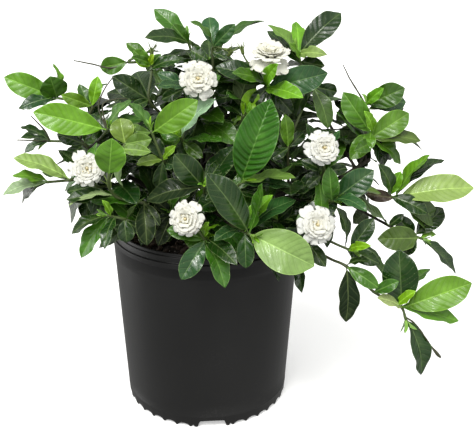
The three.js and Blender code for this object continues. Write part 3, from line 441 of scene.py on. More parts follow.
def chip_material():
    material, tree = new_material("bark_chips")
    tone = mark(tree, "tone")
    fibres = noise(tree, stretched(tree, object_place(tree), 1.0, 0.25, 1.0), 900.0, 4.0, 0.6)
    dark = mix_colour(tree, tone, (0.012, 0.007, 0.005), (0.055, 0.030, 0.017))
    colour = mix_colour(tree, fibres, dark, (0.09, 0.056, 0.034))
    grit = math_node(tree, "GREATER_THAN", tone, 1.5)
    colour = mix_colour(tree, grit, colour, (0.28, 0.26, 0.23))
    finish_material(tree, colour, scaled(tree, fibres, 0.2, 0.7), bump(tree, fibres, 0.6, 0.0006))
    return material


def add_chip(skins, middle, size, tone):
    """A broken piece of bark: a flat lump with an uneven outline, lying at any turn."""
    axes = np.linalg.qr(soil_rng.normal(size=(3, 3)))[0]
    axes[2] = unit(axes[2] * 0.4 + Z * math.copysign(1.0, axes[2][2]))
    axes[0] = unit(axes[0] - axes[2] * float(axes[0] @ axes[2]))
    axes[1] = np.cross(axes[2], axes[0])
    angles = np.arange(CHIP_SIDES) * 2 * math.pi / CHIP_SIDES
    uneven = soil_rng.uniform(0.65, 1.15, CHIP_SIDES)[None, :] * np.array(CHIP_WIDTHS)[:, None]
    levels = np.array(CHIP_LEVELS)[:, None] + soil_rng.uniform(-0.1, 0.1, uneven.shape)
    rings = middle + axes[0] * (size[0] * uneven * np.cos(angles))[..., None]
    rings = rings + axes[1] * (size[1] * uneven * np.sin(angles))[..., None]
    rings = rings + axes[2] * (size[2] * levels)[..., None]
    skins.add_rings(rings, 0, tone, rings[0].mean(axis=0), rings[-1].mean(axis=0))


def make_soil():
    beside = WALL + SOIL_GAP
    gutter_top = GUTTER_HEIGHT + FLOOR_THICKNESS + SOIL_GAP
    edge = wall_radius(SOIL_TOP) - beside - SOIL_GAP
    angles = np.arange(SOIL_SPOKES) * 2 * math.pi / SOIL_SPOKES
    sides = np.array([
        (2.0, FLOOR_THICKNESS + SOIL_GAP), (PAD_RADIUS - beside, FLOOR_THICKNESS + SOIL_GAP),
        (PAD_RADIUS - beside, gutter_top), (wall_radius(gutter_top) - beside, gutter_top),
    ])
    radii = np.concatenate([sides[:, 0], [edge], np.linspace(edge - 1.5, 2.0, SOIL_RINGS)])[:, None]
    x, y = radii * np.sin(angles), -radii * np.cos(angles)
    places = np.stack([x, y, 0 * x], axis=-1)
    clods = 2.0 * lumpy(places, 24.0, 3) + 1.4 * lumpy(places, 9.0, 4) + 0.7 * lumpy(places, 4.5, 5) - 1.2
    heights = soil_height(x, y) + clods * np.clip((edge - radii) / 6, 0, 1)
    heights[:4] = sides[:, 1][:, None]
    rings = np.stack([x, y, heights], axis=-1)
    skins = Skins()
    skins.add_rings(rings, 0, (), (0, 0, sides[0, 1]), (0, 0, float(heights[-1].mean())))
    make_piece("potting_mix", skins, [potting_mix()], ["soil"])


def make_chips():
    skins = Skins((("tone", 1),))
    for i in range(BARK_CHIPS + GRIT):
        grit = i >= BARK_CHIPS
        radius = (wall_radius(SOIL_TOP) - 12) * math.sqrt(soil_rng.uniform(0, 1))
        angle = soil_rng.uniform(0, 2 * math.pi)
        x, y = radius * math.cos(angle), radius * math.sin(angle)
        length = soil_rng.uniform(1.2, 2.4) if grit else soil_rng.uniform(2.2, 8.0)
        size = np.array([length, length * soil_rng.uniform(0.45, 0.9), length * soil_rng.uniform(0.3, 0.7)])
        if grit:
            size[1:] = length * 0.85
        middle = np.array([x, y, float(soil_height(x, y)) + soil_rng.uniform(-0.6, 1.4)])
        add_chip(skins, middle, size, 2.0 if grit else soil_rng.uniform(0, 1))
    make_piece("bark_chips", skins, [chip_material()])


make_soil()
make_chips()


# The boughs. Five woody stems, grey-brown and lightly fissured, stand in the mix and fork into thin brown
# twigs, each carrying one leafy shoot. They grow from one rooted cutting, so they rise from plain holes.
STEM_DEPTH = 30.0
BOUGH_RADIUS = 4.0
BOUGH_END_RADIUS = 2.6
TWIG_RADIUS = 2.1
BOUGH_SIDES = 14
TWIG_SIDES = 9
STEM_RADIUS = 1.9
STEM_END_RADIUS = 1.6
STEM_END = 4.0
GREEN_LENGTH = 46.0
TWIG_DIP = 0.1
JOINT_GAP = 0.4
CALYX_LENGTH = 10.0
CORE_HEIGHT = 8.0
BOUGHS = {
    "wood_left": ((-34, -8), [(-38, -12, 282), (-72, -40, 324), (-128, -58, 366), (-166, -60, 402)]),
    "wood_front": ((-2, -44), [(-4, -58, 274), (0, -84, 304), (14, -104, 335)]),
    "wood_right": ((36, -18), [(42, -24, 280), (96, -60, 322), (166, -74, 346), (214, -66, 372)]),
    "wood_top": ((4, 8), [(2, 6, 290), (-4, 0, 350), (10, -8, 430)]),
    "wood_back": ((-10, 50), [(-8, 62, 276), (6, 104, 330), (20, 130, 390)]),
}

# Leaf colours: red, green, blue, how rough the upper face is, and how high its quilting stands in mm.
BRIGHT = (0.200, 0.315, 0.078, 0.38, 1.0)
LIGHT = (0.086, 0.216, 0.008, 0.33, 0.6)
LIME = (0.130, 0.305, 0.004, 0.36, 0.8)
FRESH = (0.058, 0.155, 0.006, 0.28, 0.9)
LUSH = (0.018, 0.096, 0.001, 0.24, 2.6)
MID = (0.032, 0.108, 0.004, 0.25, 1.1)
DARK = (0.007, 0.031, 0.002, 0.20, 1.0)
OLIVE = (0.100, 0.195, 0.025, 0.36, 0.4)
PALE = (0.240, 0.340, 0.140, 0.50, 0.4)
# The next tone is painted shade: near black and dull, for leaves that sit deep in the crown's shade.
PAINTED_SHADE = (0.004, 0.014, 0.001, 0.72, 0.8)
GREY = (0.018, 0.062, 0.014, 0.16, 1.0)
MOSS = (0.046, 0.096, 0.012, 0.32, 0.8)
FROST = (0.040, 0.110, 0.016, 0.34, 1.2)
BROWN = (0.040, 0.028, 0.022, 0.45, 1.2)
# The next tone is a painted sheen: a pale grey-green that stands for a glossy leaf's reflection, painted into
# its colour.
PAINTED_SHEEN = (0.270, 0.390, 0.210, 0.14, 1.3)
DEEP = (0.010, 0.055, 0.002, 0.24, 0.9)

# The leafy shoots of the front. Each grows from a place part way up its bough, in shares of its length,
# through its whorls. A whorl's place comes first, as pixels across and down and mm in front of the pot's
# axis, and then its leaves: the place of each tip, the width that shows in pixels, and its colour.
SHOOTS = (
    ("shoot_front_hero", "wood_front", 0.8, [
        ((249, 234, 158), (314, 266, 178, 42, BRIGHT), (206, 173, 160, 30, DARK), (262, 184, 148, 11, MID),
         (273, 195, 140, 13, LIME), (296, 200, 130, 18, GREY), (246, 269, 188, 18, DEEP),
         (279, 282, 184, 14, DARK), (214, 241, 176, 12, GREY))]),
    ("shoot_tall_hero", "wood_front", 0.95, [
        ((240, 184, 126), (271, 99, 132, 40, LUSH), (296, 178, 140, 10, OLIVE), (291, 187, 124, 12, GREY),
         (205, 200, 118, 14, DARK))]),
    ("shoot_low_left", "wood_left", 0.3, [
        ((144, 203, 128), (147, 246, 160, 20, PAINTED_SHADE), (160, 226, 140, 12, PAINTED_SHADE)),
        ((115, 196, 134), (66, 200, 140, 14, DARK), (69, 206, 124, 8, PALE)),
        ((109, 174, 156), (112, 138, 170, 31, LIGHT)),
        ((125, 144, 126), (120, 118, 114, 24, OLIVE), (152, 139, 128, 17, OLIVE), (123, 187, 134, 8, PALE),
         (151, 152, 136, 12, OLIVE))]),
    ("shoot_rim_left", "wood_left", 0.18, [
        ((124, 219, 140), (127, 243, 158, 17, DARK), (142, 232, 152, 10, DARK)),
        ((110, 216, 146), (72, 234, 140, 12, DARK), (81, 258, 158, 17, MID), (102, 200, 148, 7, LIME),
         (105, 249, 168, 12, DARK))]),
    ("shoot_centre_left", "wood_top", 0.45, [
        ((163, 160, 118), (136, 165, 134, 10, OLIVE), (176, 146, 130, 8, LIME), (158, 190, 120, 14, DARK),
         (176, 166, 128, 12, GREY)),
        ((152, 133, 122), (198, 100, 134, 27, LIGHT), (126, 130, 118, 14, OLIVE),
         (129, 103, 100, 10, FROST))]),
    ("shoot_centre_gloss", "wood_top", 0.55, [
        ((181, 138, 98), (216, 99, 104, 13, PAINTED_SHEEN), (160, 132, 92, 13, MID), (172, 153, 112, 6, LIME),
         (203, 158, 112, 13, MID), (190, 112, 74, 12, DARK))]),
    ("shoot_centre_low", "wood_front", 0.6, [
        ((204, 188, 138), (174, 154, 146, 26, DARK), (146, 201, 148, 20, PAINTED_SHADE), (222, 160, 120, 14, DARK))]),
    ("shoot_front_low", "wood_front", 0.45, [
        ((205, 240, 156), (166, 230, 166, 16, MID), (181, 280, 184, 22, GREY), (225, 288, 186, 19, MID),
         (221, 225, 168, 5, LIME), (212, 248, 178, 5, LIME), (209, 222, 166, 7, LIME),
         (237, 265, 178, 18, DARK), (222, 237, 172, 5, LIME))]),
    ("shoot_rim_front", "wood_front", 0.12, [
        ((172, 214, 108), (148, 194, 108, 14, PAINTED_SHADE), (196, 192, 98, 14, PAINTED_SHADE), (158, 246, 132, 16, PAINTED_SHADE),
         (188, 242, 136, 14, GREY), (206, 214, 112, 12, DARK), (142, 224, 112, 12, PAINTED_SHADE))]),
    ("shoot_rim_right", "wood_front", 0.3, [
        ((278, 220, 100), (262, 196, 96, 14, LIGHT), (300, 200, 92, 14, DARK), (268, 252, 130, 14, DARK),
         (290, 256, 128, 14, MID), (306, 214, 104, 12, DARK), (252, 222, 112, 12, GREY))]),
    ("shoot_left_bloom", "wood_left", 0.62, [
        ((96, 186, 118), (58, 150, 96, 14, DARK), (97, 134, 92, 12, MID), (66, 192, 118, 12, DARK))]),
    ("shoot_left_far", "wood_left", 0.75, [
        ((70, 180, 100), (13, 158, 104, 17, BRIGHT), (42, 172, 84, 10, PALE)),
        ((49, 182, 98), (3, 195, 96, 12, PAINTED_SHEEN), (12, 176, 96, 9, LIGHT), (22, 204, 84, 9, DARK))]),
    ("shoot_left_low", "wood_left", 0.7, [
        ((84, 144, 92), (57, 134, 74, 14, DARK), (66, 158, 84, 13, DARK), (96, 120, 60, 12, DARK)),
        ((50, 141, 64), (20, 127, 52, 8, DARK), (21, 138, 62, 8, DARK), (24, 154, 58, 8, GREY))]),
    ("shoot_left_big", "wood_left", 0.9, [
        ((107, 130, 96), (33, 112, 104, 30, LIGHT), (132, 100, 92, 9, FROST), (86, 116, 80, 10, DARK))]),
    ("shoot_left_upper", "wood_left", 0.97, [
        ((92, 106, 60), (61, 95, 74, 14, LIGHT), (98, 76, 56, 13, LIME), (107, 83, 44, 8, FROST),
         (79, 84, 46, 12, FROST)),
        ((57, 98, 40), (4, 77, 40, 24, LIGHT), (50, 76, 56, 28, MID), (53, 63, 20, 7, LIME),
         (18, 109, 50, 11, GREY))]),
    ("shoot_upper_left", "wood_top", 0.75, [
        ((149, 100, 58), (112, 76, 66, 22, DARK), (130, 108, 74, 10, DARK)),
        ((150, 64, 44), (126, 43, 36, 12, MID), (131, 57, 58, 9, MID), (162, 57, 52, 7, MID),
         (181, 60, 58, 11, DARK)),
        ((128, 62, 50), (100, 68, 56, 18, FRESH))]),
    ("shoot_top_left", "wood_top", 0.96, [
        ((189, 44, 16), (154, 9, 0, 18, MID), (172, 24, 24, 15, MID), (145, 38, 30, 14, DARK),
         (208, 60, 52, 15, DARK), (156, 71, 44, 9, DARK))]),
    ("shoot_top_middle", "wood_top", 0.99, [
        ((213, 47, 6), (190, 22, -10, 6, MID), (209, 17, -24, 18, GREY), (235, 24, -6, 14, GREY),
         (266, 21, -20, 8, MID), (228, 60, 30, 9, DARK))]),
    ("shoot_upper_bloom", "wood_top", 0.85, [
        ((186, 88, 76), (157, 73, 74, 12, GREY), (158, 87, 96, 9, GREY), (161, 100, 88, 12, DARK),
         (216, 94, 70, 12, DARK), (204, 112, 84, 13, GREY))]),
    ("shoot_top_bloom", "wood_top", 0.9, [
        ((268, 86, 52), (215, 67, 56, 20, DARK), (232, 73, 68, 12, MID), (278, 64, 84, 12, LIME),
         (303, 98, 82, 15, LIGHT), (328, 73, 62, 28, GREY), (264, 70, 80, 8, LIGHT))]),
    ("shoot_top_right", "wood_right", 0.9, [
        ((298, 56, 0), (341, 13, -22, 24, DARK), (296, 21, -20, 14, LIME), (327, 55, 20, 11, BRIGHT),
         (267, 25, 2, 8, OLIVE), (284, 35, 14, 7, LIGHT), (325, 66, 28, 14, DARK),
         (267, 31, -26, 14, DARK))]),
    ("shoot_behind_hero", "wood_top", 0.65, [
        ((243, 117, 56), (256, 88, 54, 17, LIME), (231, 125, 40, 6, LIGHT), (222, 104, 20, 12, DARK))]),
    ("shoot_beside_hero", "wood_right", 0.55, [
        ((288, 148, 70), (285, 114, 72, 14, LIGHT), (304, 132, 60, 12, DARK), (270, 160, 84, 10, DARK)),
        ((312, 86, 34), (328, 129, 56, 17, MOSS), (296, 118, 48, 12, DARK), (337, 92, 16, 14, DARK))]),
    ("shoot_right_bloom", "wood_right", 0.62, [
        ((324, 172, 104), (300, 160, 96, 10, DARK), (347, 168, 98, 12, DARK), (340, 130, 76, 12, GREY),
         (306, 188, 104, 10, DARK))]),
    ("shoot_right_upper", "wood_right", 0.92, [
        ((371, 133, 60), (343, 92, 58, 24, FRESH), (364, 111, 74, 9, LIME), (422, 150, 34, 9, DARK),
         (409, 113, 56, 24, FRESH), (401, 165, 76, 12, FRESH), (421, 141, 62, 15, MOSS),
         (354, 151, 98, 14, MID), (393, 158, 64, 12, DARK))]),
    ("shoot_right_rear", "wood_right", 0.97, [
        ((366, 105, 8), (405, 88, 12, 24, MID), (384, 88, 28, 11, LIME), (351, 100, 4, 11, MID),
         (404, 108, -4, 14, DARK))]),
    ("shoot_right_pale", "wood_right", 0.85, [
        ((395, 198, 84), (474, 188, 88, 28, BRIGHT), (430, 155, 66, 11, LIGHT), (445, 160, 58, 15, DARK),
         (401, 171, 96, 13, LIME), (378, 164, 98, 13, DARK), (428, 214, 104, 16, DARK))]),
    ("shoot_right_middle", "wood_right", 0.5, [
        ((332, 201, 116), (374, 170, 122, 26, GREY), (329, 166, 112, 17, MID), (367, 212, 150, 11, GREY),
         (382, 194, 104, 12, OLIVE))]),
    ("shoot_low_bloom", "wood_right", 0.35, [
        ((306, 240, 138), (302, 293, 160, 13, DARK), (326, 267, 160, 15, DARK), (286, 228, 130, 11, DARK))]),
    ("shoot_right_low", "wood_right", 0.45, [
        ((350, 250, 130), (374, 218, 124, 18, DARK), (371, 246, 142, 9, LIME), (358, 261, 146, 8, LIME),
         (336, 207, 130, 8, DARK), (380, 264, 134, 16, DARK))]),
    ("shoot_right_dark", "wood_right", 0.7, [
        ((420, 238, 84), (377, 239, 104, 25, MOSS), (456, 274, 88, 10, DARK), (436, 234, 72, 6, LIGHT),
         (443, 208, 58, 21, DARK), (404, 256, 96, 15, DARK), (396, 216, 82, 17, DARK))]),
    ("shoot_drooping", "wood_right", 0.38, [
        ((346, 266, 150), (346, 322, 162, 21, PAINTED_SHADE), (379, 288, 166, 16, MID), (370, 262, 130, 10, DARK)),
        ((374, 292, 150), (399, 281, 150, 13, MID)),
        ((402, 308, 144), (377, 298, 158, 11, PALE), (399, 249, 134, 36, DARK), (472, 283, 146, 32, LIGHT),
         (431, 268, 134, 14, MID), (416, 291, 158, 10, LIME), (459, 321, 152, 17, LIGHT)),
        ((405, 317, 147), (421, 375, 160, 18, DARK))]),
)

# What these shoots carry. For a bloom: its name, the place of its heart, its radius in mm, how far its
# petals spread, the way it faces, and its age, from white at 0 to cream at 1. For a closed bud: its place
# and its size as a share of a bloom's.
BLOOMS = {
    "shoot_front_low": ("bloom_low_left", (186, 219, 176), 21.5, 1, (-0.3, -0.9, 0.35), 0.55),
    "shoot_left_bloom": ("bloom_left", (87, 169, 136), 22, 1, (0.1, -0.85, 0.5), 0.35),
    "shoot_upper_bloom": ("bloom_upper", (198, 79, 112), 22, 1, (0.05, -0.9, 0.4), 0.75),
    "shoot_top_bloom": ("bloom_top", (270, 57, 66), 28, 0.7, (0.02, -0.3, 0.95), 1.1),
    "shoot_right_bloom": ("bloom_right", (324, 148, 136), 22, 1, (0.15, -0.88, 0.42), 0.2),
    "shoot_low_bloom": ("bloom_low_right", (317, 225, 166), 24, 1, (0.2, -0.85, 0.45), 0.25),
}
BUDS = {"shoot_upper_left": ((152, 50, 42), 0.5), "shoot_top_middle": ((228, 50, 16), 0.6)}

# The shoots of the back and far sides: the bough, the fork on it, the bearing of the tip from the front
# towards +X and its slope up from level in degrees, and its reach as a share of the crown.
CROWN_MIDDLE = np.array([12.0, 10.0, 322.0])
CROWN_REACH = np.array([236.0, 205.0, 196.0])
HIDDEN_SHOOTS = [
    ("shoot_back_low_left", "wood_back", 0.35, -128, 6, 0.98),
    ("shoot_back_left", "wood_back", 0.6, -150, 38, 0.96),
    ("shoot_back_foot", "wood_back", 0.5, 180, 4, 1.0),
    ("shoot_back_middle", "wood_back", 0.85, 170, 44, 0.95),
    ("shoot_back_low_right", "wood_back", 0.42, 138, 8, 1.0),
    ("shoot_back_right", "wood_back", 0.75, 122, 36, 0.98),
    ("shoot_back_top", "wood_top", 0.8, -175, 72, 0.98),
    ("shoot_far_left", "wood_left", 0.5, -100, 12, 0.9),
    ("shoot_far_right", "wood_right", 0.6, 98, 10, 0.98),
]

# The whorls of a hidden shoot: how far behind its tip, and the length and the spread of their leaves.
HIDDEN_WHORLS = ((88, 88, 68), (46, 80, 56), (22, 74, 50), (0, 60, 36))
WHORL_TURN = 60
WHORL_LEAVES = 3

GROWTH_FACTOR = 16807
GROWTH_LIMIT = 2147483647
growth_state = 20117


def draw():
    global growth_state
    growth_state = growth_state * GROWTH_FACTOR % GROWTH_LIMIT
    return growth_state / GROWTH_LIMIT


def between(low, high):
    return low + (high - low) * draw()


def sized(v, length):
    return v * (length / size_of(v)) if v.any() else v


def sides_of(face):
    helper = np.array([1.0, 0.0, 0.0]) if abs(face[2]) > 0.9 else Z
    across = unit(np.cross(helper, face))
    return across, np.cross(face, across)


def around(face, degrees):
    across, upward = sides_of(face)
    angle = math.radians(degrees)
    return across * math.cos(angle) + upward * math.sin(angle)


def smooth_curve(places):
    """The centripetal curve through some places, as a function of the share of its spans."""
    points = np.array([2 * places[0] - places[1], *places, 2 * places[-1] - places[-2]])
    spans = len(places) - 1
    steps = np.sqrt(np.linalg.norm(np.diff(points, axis=0), axis=1))

    def at(shares):
        where = np.clip(shares, 0, 1) * spans
        i = np.minimum(where.astype(int), spans - 1)
        w = (where - i)[:, None]
        before, start, end, after = points[i], points[i + 1], points[i + 2], points[i + 3]
        d0, d1, d2 = steps[i][:, None], steps[i + 1][:, None], steps[i + 2][:, None]
        leave = ((start - before) / d0 - (end - before) / (d0 + d1) + (end - start) / d1) * d1
        arrive = ((end - start) / d1 - (after - start) / (d1 + d2) + (after - end) / d2) * d1
        bend = -3 * start + 3 * end - 2 * leave - arrive
        return start + leave * w + bend * w ** 2 + (2 * start - 2 * end + leave + arrive) * w ** 3

    return at


def arched_curve(start, control, end):
    def at(shares):
        t = shares[:, None]
        return (1 - t) ** 2 * start + 2 * t * (1 - t) * control + t ** 2 * end

    return at


ARC_STEPS = 200


def arc(curve):
    """A curve's length, and the function that gives its points at shares of that length."""
    shares = np.linspace(0, 1, ARC_STEPS + 1)
    steps = np.linalg.norm(np.diff(curve(shares), axis=0), axis=1)
    lengths = np.concatenate([[0.0], np.cumsum(steps)])
    total = float(lengths[-1])
    return total, lambda parts: curve(np.interp(np.asarray(parts) * total, lengths, shares))


def bough_places(name):
    (x, y), path = BOUGHS[name]
    rises = (-STEM_DEPTH, -STEM_DEPTH / 4, STEM_DEPTH / 2)
    places = [(x, y, SOIL_TOP + rise) for rise in rises] + path
    return np.array(places, dtype=float)


def fork_place(name, share):
    places = bough_places(name)
    foot = 2 / (len(places) - 1)
    return smooth_curve(places)(np.array([foot + share * (1 - foot)]))[0]


def twig_and_stem(start, end):
    """The woody part of a twig and the green stem beyond it, as three places each."""
    span = size_of(end - start)
    control = start + (end - start) * 0.55 - Z * TWIG_DIP * span
    control[2] = max(control[2], min(POT_HEIGHT + 20, end[2]))
    length, at = arc(arched_curve(start, control, end))
    split = 1 - min(GREEN_LENGTH, length / 2) / length
    green = split + JOINT_GAP / length
    halves = np.array([0, 0.5, 1])
    return at(halves * split), at(green + halves * (1 - green))


def hidden_whorls(bearing, slope, reach):
    bearing, slope = math.radians(bearing), math.radians(slope)
    level = math.cos(slope)
    out = np.array([math.sin(bearing) * level, -math.cos(bearing) * level, math.sin(slope)]) * CROWN_REACH
    tip = CROWN_MIDDLE + out * reach * 0.82
    ahead = unit(unit(out) + Z * 0.45)
    return [
        dict(place=tip - ahead * back, ahead=ahead, turn=order * WHORL_TURN, length=length, spread=spread)
        for order, (back, length, spread) in enumerate(HIDDEN_WHORLS)
    ]


def lay_out(shoot):
    """A shoot's twig, its green stem through its whorls, and the head that the stem carries."""
    if "hidden" in shoot:
        shoot["rings"] = hidden_whorls(*shoot["hidden"])
        places = [whorl["place"] for whorl in shoot["rings"]]
    else:
        places = [seen(place) for place, *_ in shoot["whorls"]]
    shoot["wood"], stem = twig_and_stem(fork_place(shoot["bough"], shoot["fork"]), places[0])
    stem = [*stem[:-1], *places]
    head = None
    if shoot["name"] in BLOOMS:
        shoot["bloom"], at, radius, spread, face, age = BLOOMS[shoot["name"]]
        face = unit(np.array(face))
        base = seen(at) - face * CORE_HEIGHT
        head = dict(base=base, face=face, size=1.0, radius=radius, spread=spread, age=age)
    elif shoot["name"] in BUDS:
        at, size = BUDS[shoot["name"]]
        head = dict(base=seen(at), face=unit(seen(at) - places[-1]), size=size)
    if head:
        stem.append(head["base"] - head["face"] * CALYX_LENGTH * head["size"])
    else:
        stem.append(stem[-1] + sized(stem[-1] - stem[-2], STEM_END))
    shoot.update(places=places, stem=stem, head=head, blades=[])


shoots = [dict(zip(("name", "bough", "fork", "whorls"), row)) for row in SHOOTS] + [
    dict(name=name, bough=bough, fork=fork, hidden=sizes) for name, bough, fork, *sizes in HIDDEN_SHOOTS
]
for shoot in shoots:
    lay_out(shoot)


def tube_rings(places, radii, sides, ridges, seed):
    """Rings round a line of places, carried along without a twist."""
    ahead = np.gradient(places, axis=0)
    ahead /= np.linalg.norm(ahead, axis=1)[:, None]
    across = sides_of(ahead[0])[0]
    angles = np.arange(sides) * 2 * math.pi / sides
    rings = np.zeros((len(places), sides, 3))
    for i, direction in enumerate(ahead):
        across = unit(across - direction * float(across @ direction))
        upward = np.cross(direction, across)
        rings[i] = np.cos(angles)[:, None] * across + np.sin(angles)[:, None] * upward
    swell = 1 + ridges * lumpy(places[:, None, :] * 0.5 + rings * 9, 7.0, seed) if ridges else 1.0
    return places[:, None, :] + rings * (radii[:, None] * swell)[..., None]


def add_stalk(skins, places, radii, sides, slot, marks, ridges=0.0, seed=0, ends=None):
    """A closed round stalk along a line of places, ridged a little along its length."""
    rings = tube_rings(places, radii, sides, ridges, seed)
    skins.add_rings(rings, slot, marks, *(ends or (places[0], places[-1])))


def add_wood(skins, line, foot_radius, end_radius, sides, step, ridges, seed):
    """A bough or a twig with domed ends, marked with the run of its length."""
    length, at = arc(smooth_curve(line))
    shares = np.linspace(0, 1, max(4, int(length / step)))
    places = at(shares)
    radii = foot_radius + (end_radius - foot_radius) * shares
    ends = (places[0] - unit(places[1] - places[0]) * 0.4,
            places[-1] + unit(places[-1] - places[-2]) * end_radius * 0.6)
    add_stalk(skins, places, radii, sides, 0, (shares * length)[:, None, None], ridges, seed, ends)


def bark_material():
    material, tree = new_material("gardenia_bark")
    place = object_place(tree)
    cloud = noise(tree, place, 70.0, 4.0)
    colour = mix_colour(tree, cloud, (0.014, 0.011, 0.008), (0.050, 0.042, 0.030))
    rings = add_node(tree, "ShaderNodeCombineXYZ", {"Z": scaled(tree, mark(tree, "run"), 0.9)}).outputs[0]
    spots = noise(tree, stretched(tree, place, 900.0, 900.0, 500.0), 1.0)
    banding = noise(tree, rings, 1.0)
    colour = mix_colour(tree, ramp(tree, banding, 0.5, 0.66), colour, (0.075, 0.066, 0.048))
    colour = mix_colour(tree, ramp(tree, spots, 0.6, 0.72), colour, (0.12, 0.106, 0.082))
    fissures = noise(tree, stretched(tree, place, 1.0, 1.0, 0.22), 700.0, 5.0, 0.7)
    colour = mix_colour(tree, ramp(tree, fissures, 0.5, 0.36), colour, (0.014, 0.010, 0.007))
    finish_material(tree, colour, scaled(tree, cloud, 0.15, 0.72), bump(tree, fissures, 0.6, 0.0008))
    return material


BARK = bark_material()


def make_boughs():
    for order, name in enumerate(BOUGHS):
        skins = Skins((("run", 1),))
        add_wood(skins, bough_places(name), BOUGH_RADIUS, BOUGH_END_RADIUS, BOUGH_SIDES, 3.0, 0.07, order)
        for shoot in shoots:
            if shoot["bough"] == name:
                add_wood(skins, shoot["wood"], TWIG_RADIUS, STEM_RADIUS, TWIG_SIDES, 3.5, 0.06, order + 9)
        make_piece(name.replace("wood", "bough"), skins, [BARK], [name])


make_boughs()


# The leafy shoots. Each is a soft green stem with leaves in whorls of three, glossy and leathery, quilted
# between pale veins, with wavy margins, and a tuft of young lime leaves round the bud at the tip.
ROOM = 4
PETIOLE_HALF_WIDTH = 0.8
CORE_RADIUS = 4.4
LEAF_FORM = (0.85, 0.72, 0.08)
PETAL_FORM = (1.3, 0.36, 0.0)
SEPAL_FORM = (0.4, 0.9, 0.0)
taken = {}


def blade_frame(blade):
    along = blade["tip"] - blade["root"]
    length = size_of(along)
    ahead = along / length
    up = unit(blade["face"] - ahead * float(blade["face"] @ ahead))
    return along, length, up, np.cross(up, ahead)


def half_width(blade, u):
    rise, fall, start = blade["form"]
    t = np.clip((u - start) / (1 - start), 0, 1)
    widest = rise / (rise + fall)
    swell = (t / widest) ** rise * ((1 - t) / (1 - widest)) ** fall
    return np.maximum(PETIOLE_HALF_WIDTH * (1 - u), blade["width"] / 2 * swell)


def blade_points(blade, u, v, lift=0.0, stretch=0.0):
    """Places on a blade: u from its root to its tip, v across it, lifted off it, as arrays of one shape."""
    along, length, up, side = blade_frame(blade)
    rise = 4 * blade["arch"] * length
    middle = blade["root"] + along * (u + stretch)[..., None] + up * (rise * u * (1 - u))[..., None]
    ahead = along + up * (rise * (1 - 2 * u))[..., None]
    ahead /= np.linalg.norm(ahead, axis=-1)[..., None]
    half = half_width(blade, u)
    swing = blade["wave"] * np.sin(2 * math.pi * (2.2 * u + blade["phase"])) * v * v * 4 * u * (1 - u)
    height = blade["fold"] * half * np.abs(v) + swing + lift
    return middle + side * (half * v)[..., None] + np.cross(ahead, side) * height[..., None]


def blade_places(blade, start=0.0, end=1.0, spacing=ROOM):
    rows = max(4, math.ceil(blade_frame(blade)[1] / spacing))
    columns = max(1, math.ceil(blade["width"] / 2 / spacing))
    u = np.arange(rows + 1) / rows
    u = u[(u >= start) & (u <= end)]
    u, v = np.meshgrid(u, np.arange(-columns, columns + 1) / columns, indexing="ij")
    return blade_points(blade, u, v).reshape(-1, 3)


def take(places, owner):
    cubes = {tuple(cube) for cube in np.floor(places / ROOM).astype(int)}
    for x, y, z in cubes:
        for i in (x - 1, x, x + 1):
            for j in (y - 1, y, y + 1):
                for k in (z - 1, z, z + 1):
                    holder = taken.get((i, j, k))
                    if holder is None or holder == owner or owner.startswith(holder):
                        taken[i, j, k] = owner
                    elif not holder.startswith(owner):
                        taken[i, j, k] = "shared"


def is_clear(places, allows):
    beside = np.hypot(places[:, 0], places[:, 1]) < LIP_RADIUS + ROOM
    if ((beside & (places[:, 2] < POT_HEIGHT + ROOM / 2)) | (places[:, 2] < ROOM)).any():
        return False
    holders = (taken.get(tuple(cube)) for cube in np.floor(places / ROOM).astype(int))
    return all(holder is None or allows(holder) for holder in holders)


def take_line(line, owner):
    length, at = arc(smooth_curve(line))
    take(at(np.linspace(0, 1, math.ceil(length / ROOM) + 1)), owner)


for name in BOUGHS:
    take_line(bough_places(name), name)
for shoot in shoots:
    take_line(shoot["wood"], shoot["bough"])
    take_line(shoot["stem"], shoot["name"])

# The blooms' petals claim their room before any leaf grows. A layer is its count, length, width, lean,
# height on the core, arch and fold.
PETAL_LAYERS = (
    (6, 1.0, 0.78, 84, 0.25, 0.14, 0.05),
    (5, 0.76, 0.66, 68, 0.45, 0.12, 0.1),
    (4, 0.56, 0.5, 46, 0.65, 0.08, 0.16),
)
PETAL_WAVE = 1.2


def petal(head, out, lean, length, layer, phase):
    _, _, width, _, height, arch, fold = layer
    root = head["base"] + head["face"] * height * CORE_HEIGHT + out * CORE_RADIUS * 0.45
    tip = root + out * length * math.sin(lean) + head["face"] * length * math.cos(lean)
    face = head["face"] * math.sin(lean) - out * math.cos(lean)
    return dict(root=root, tip=tip, face=face, width=head["radius"] * width, arch=arch, fold=fold,
                wave=PETAL_WAVE, phase=phase, form=PETAL_FORM)


def petals(head):
    grown = []
    for order, layer in enumerate(PETAL_LAYERS):
        count, share, lean = layer[0], layer[1], layer[3]
        for i in range(count):
            out = around(head["face"], (i + order * 0.5) * 360 / count + between(-3, 3))
            tilt = math.radians(lean * head["spread"] + between(-4, 4))
            length = head["radius"] * share * between(0.87, 1.06)
            grown.append((order, petal(head, out, tilt, length, layer, draw())))
    return grown


blooming = [shoot for shoot in shoots if "bloom" in shoot]
for shoot in blooming:
    shoot["petals"] = petals(shoot["head"])
    for _, blade in shoot["petals"]:
        take(blade_places(blade), shoot["bloom"])

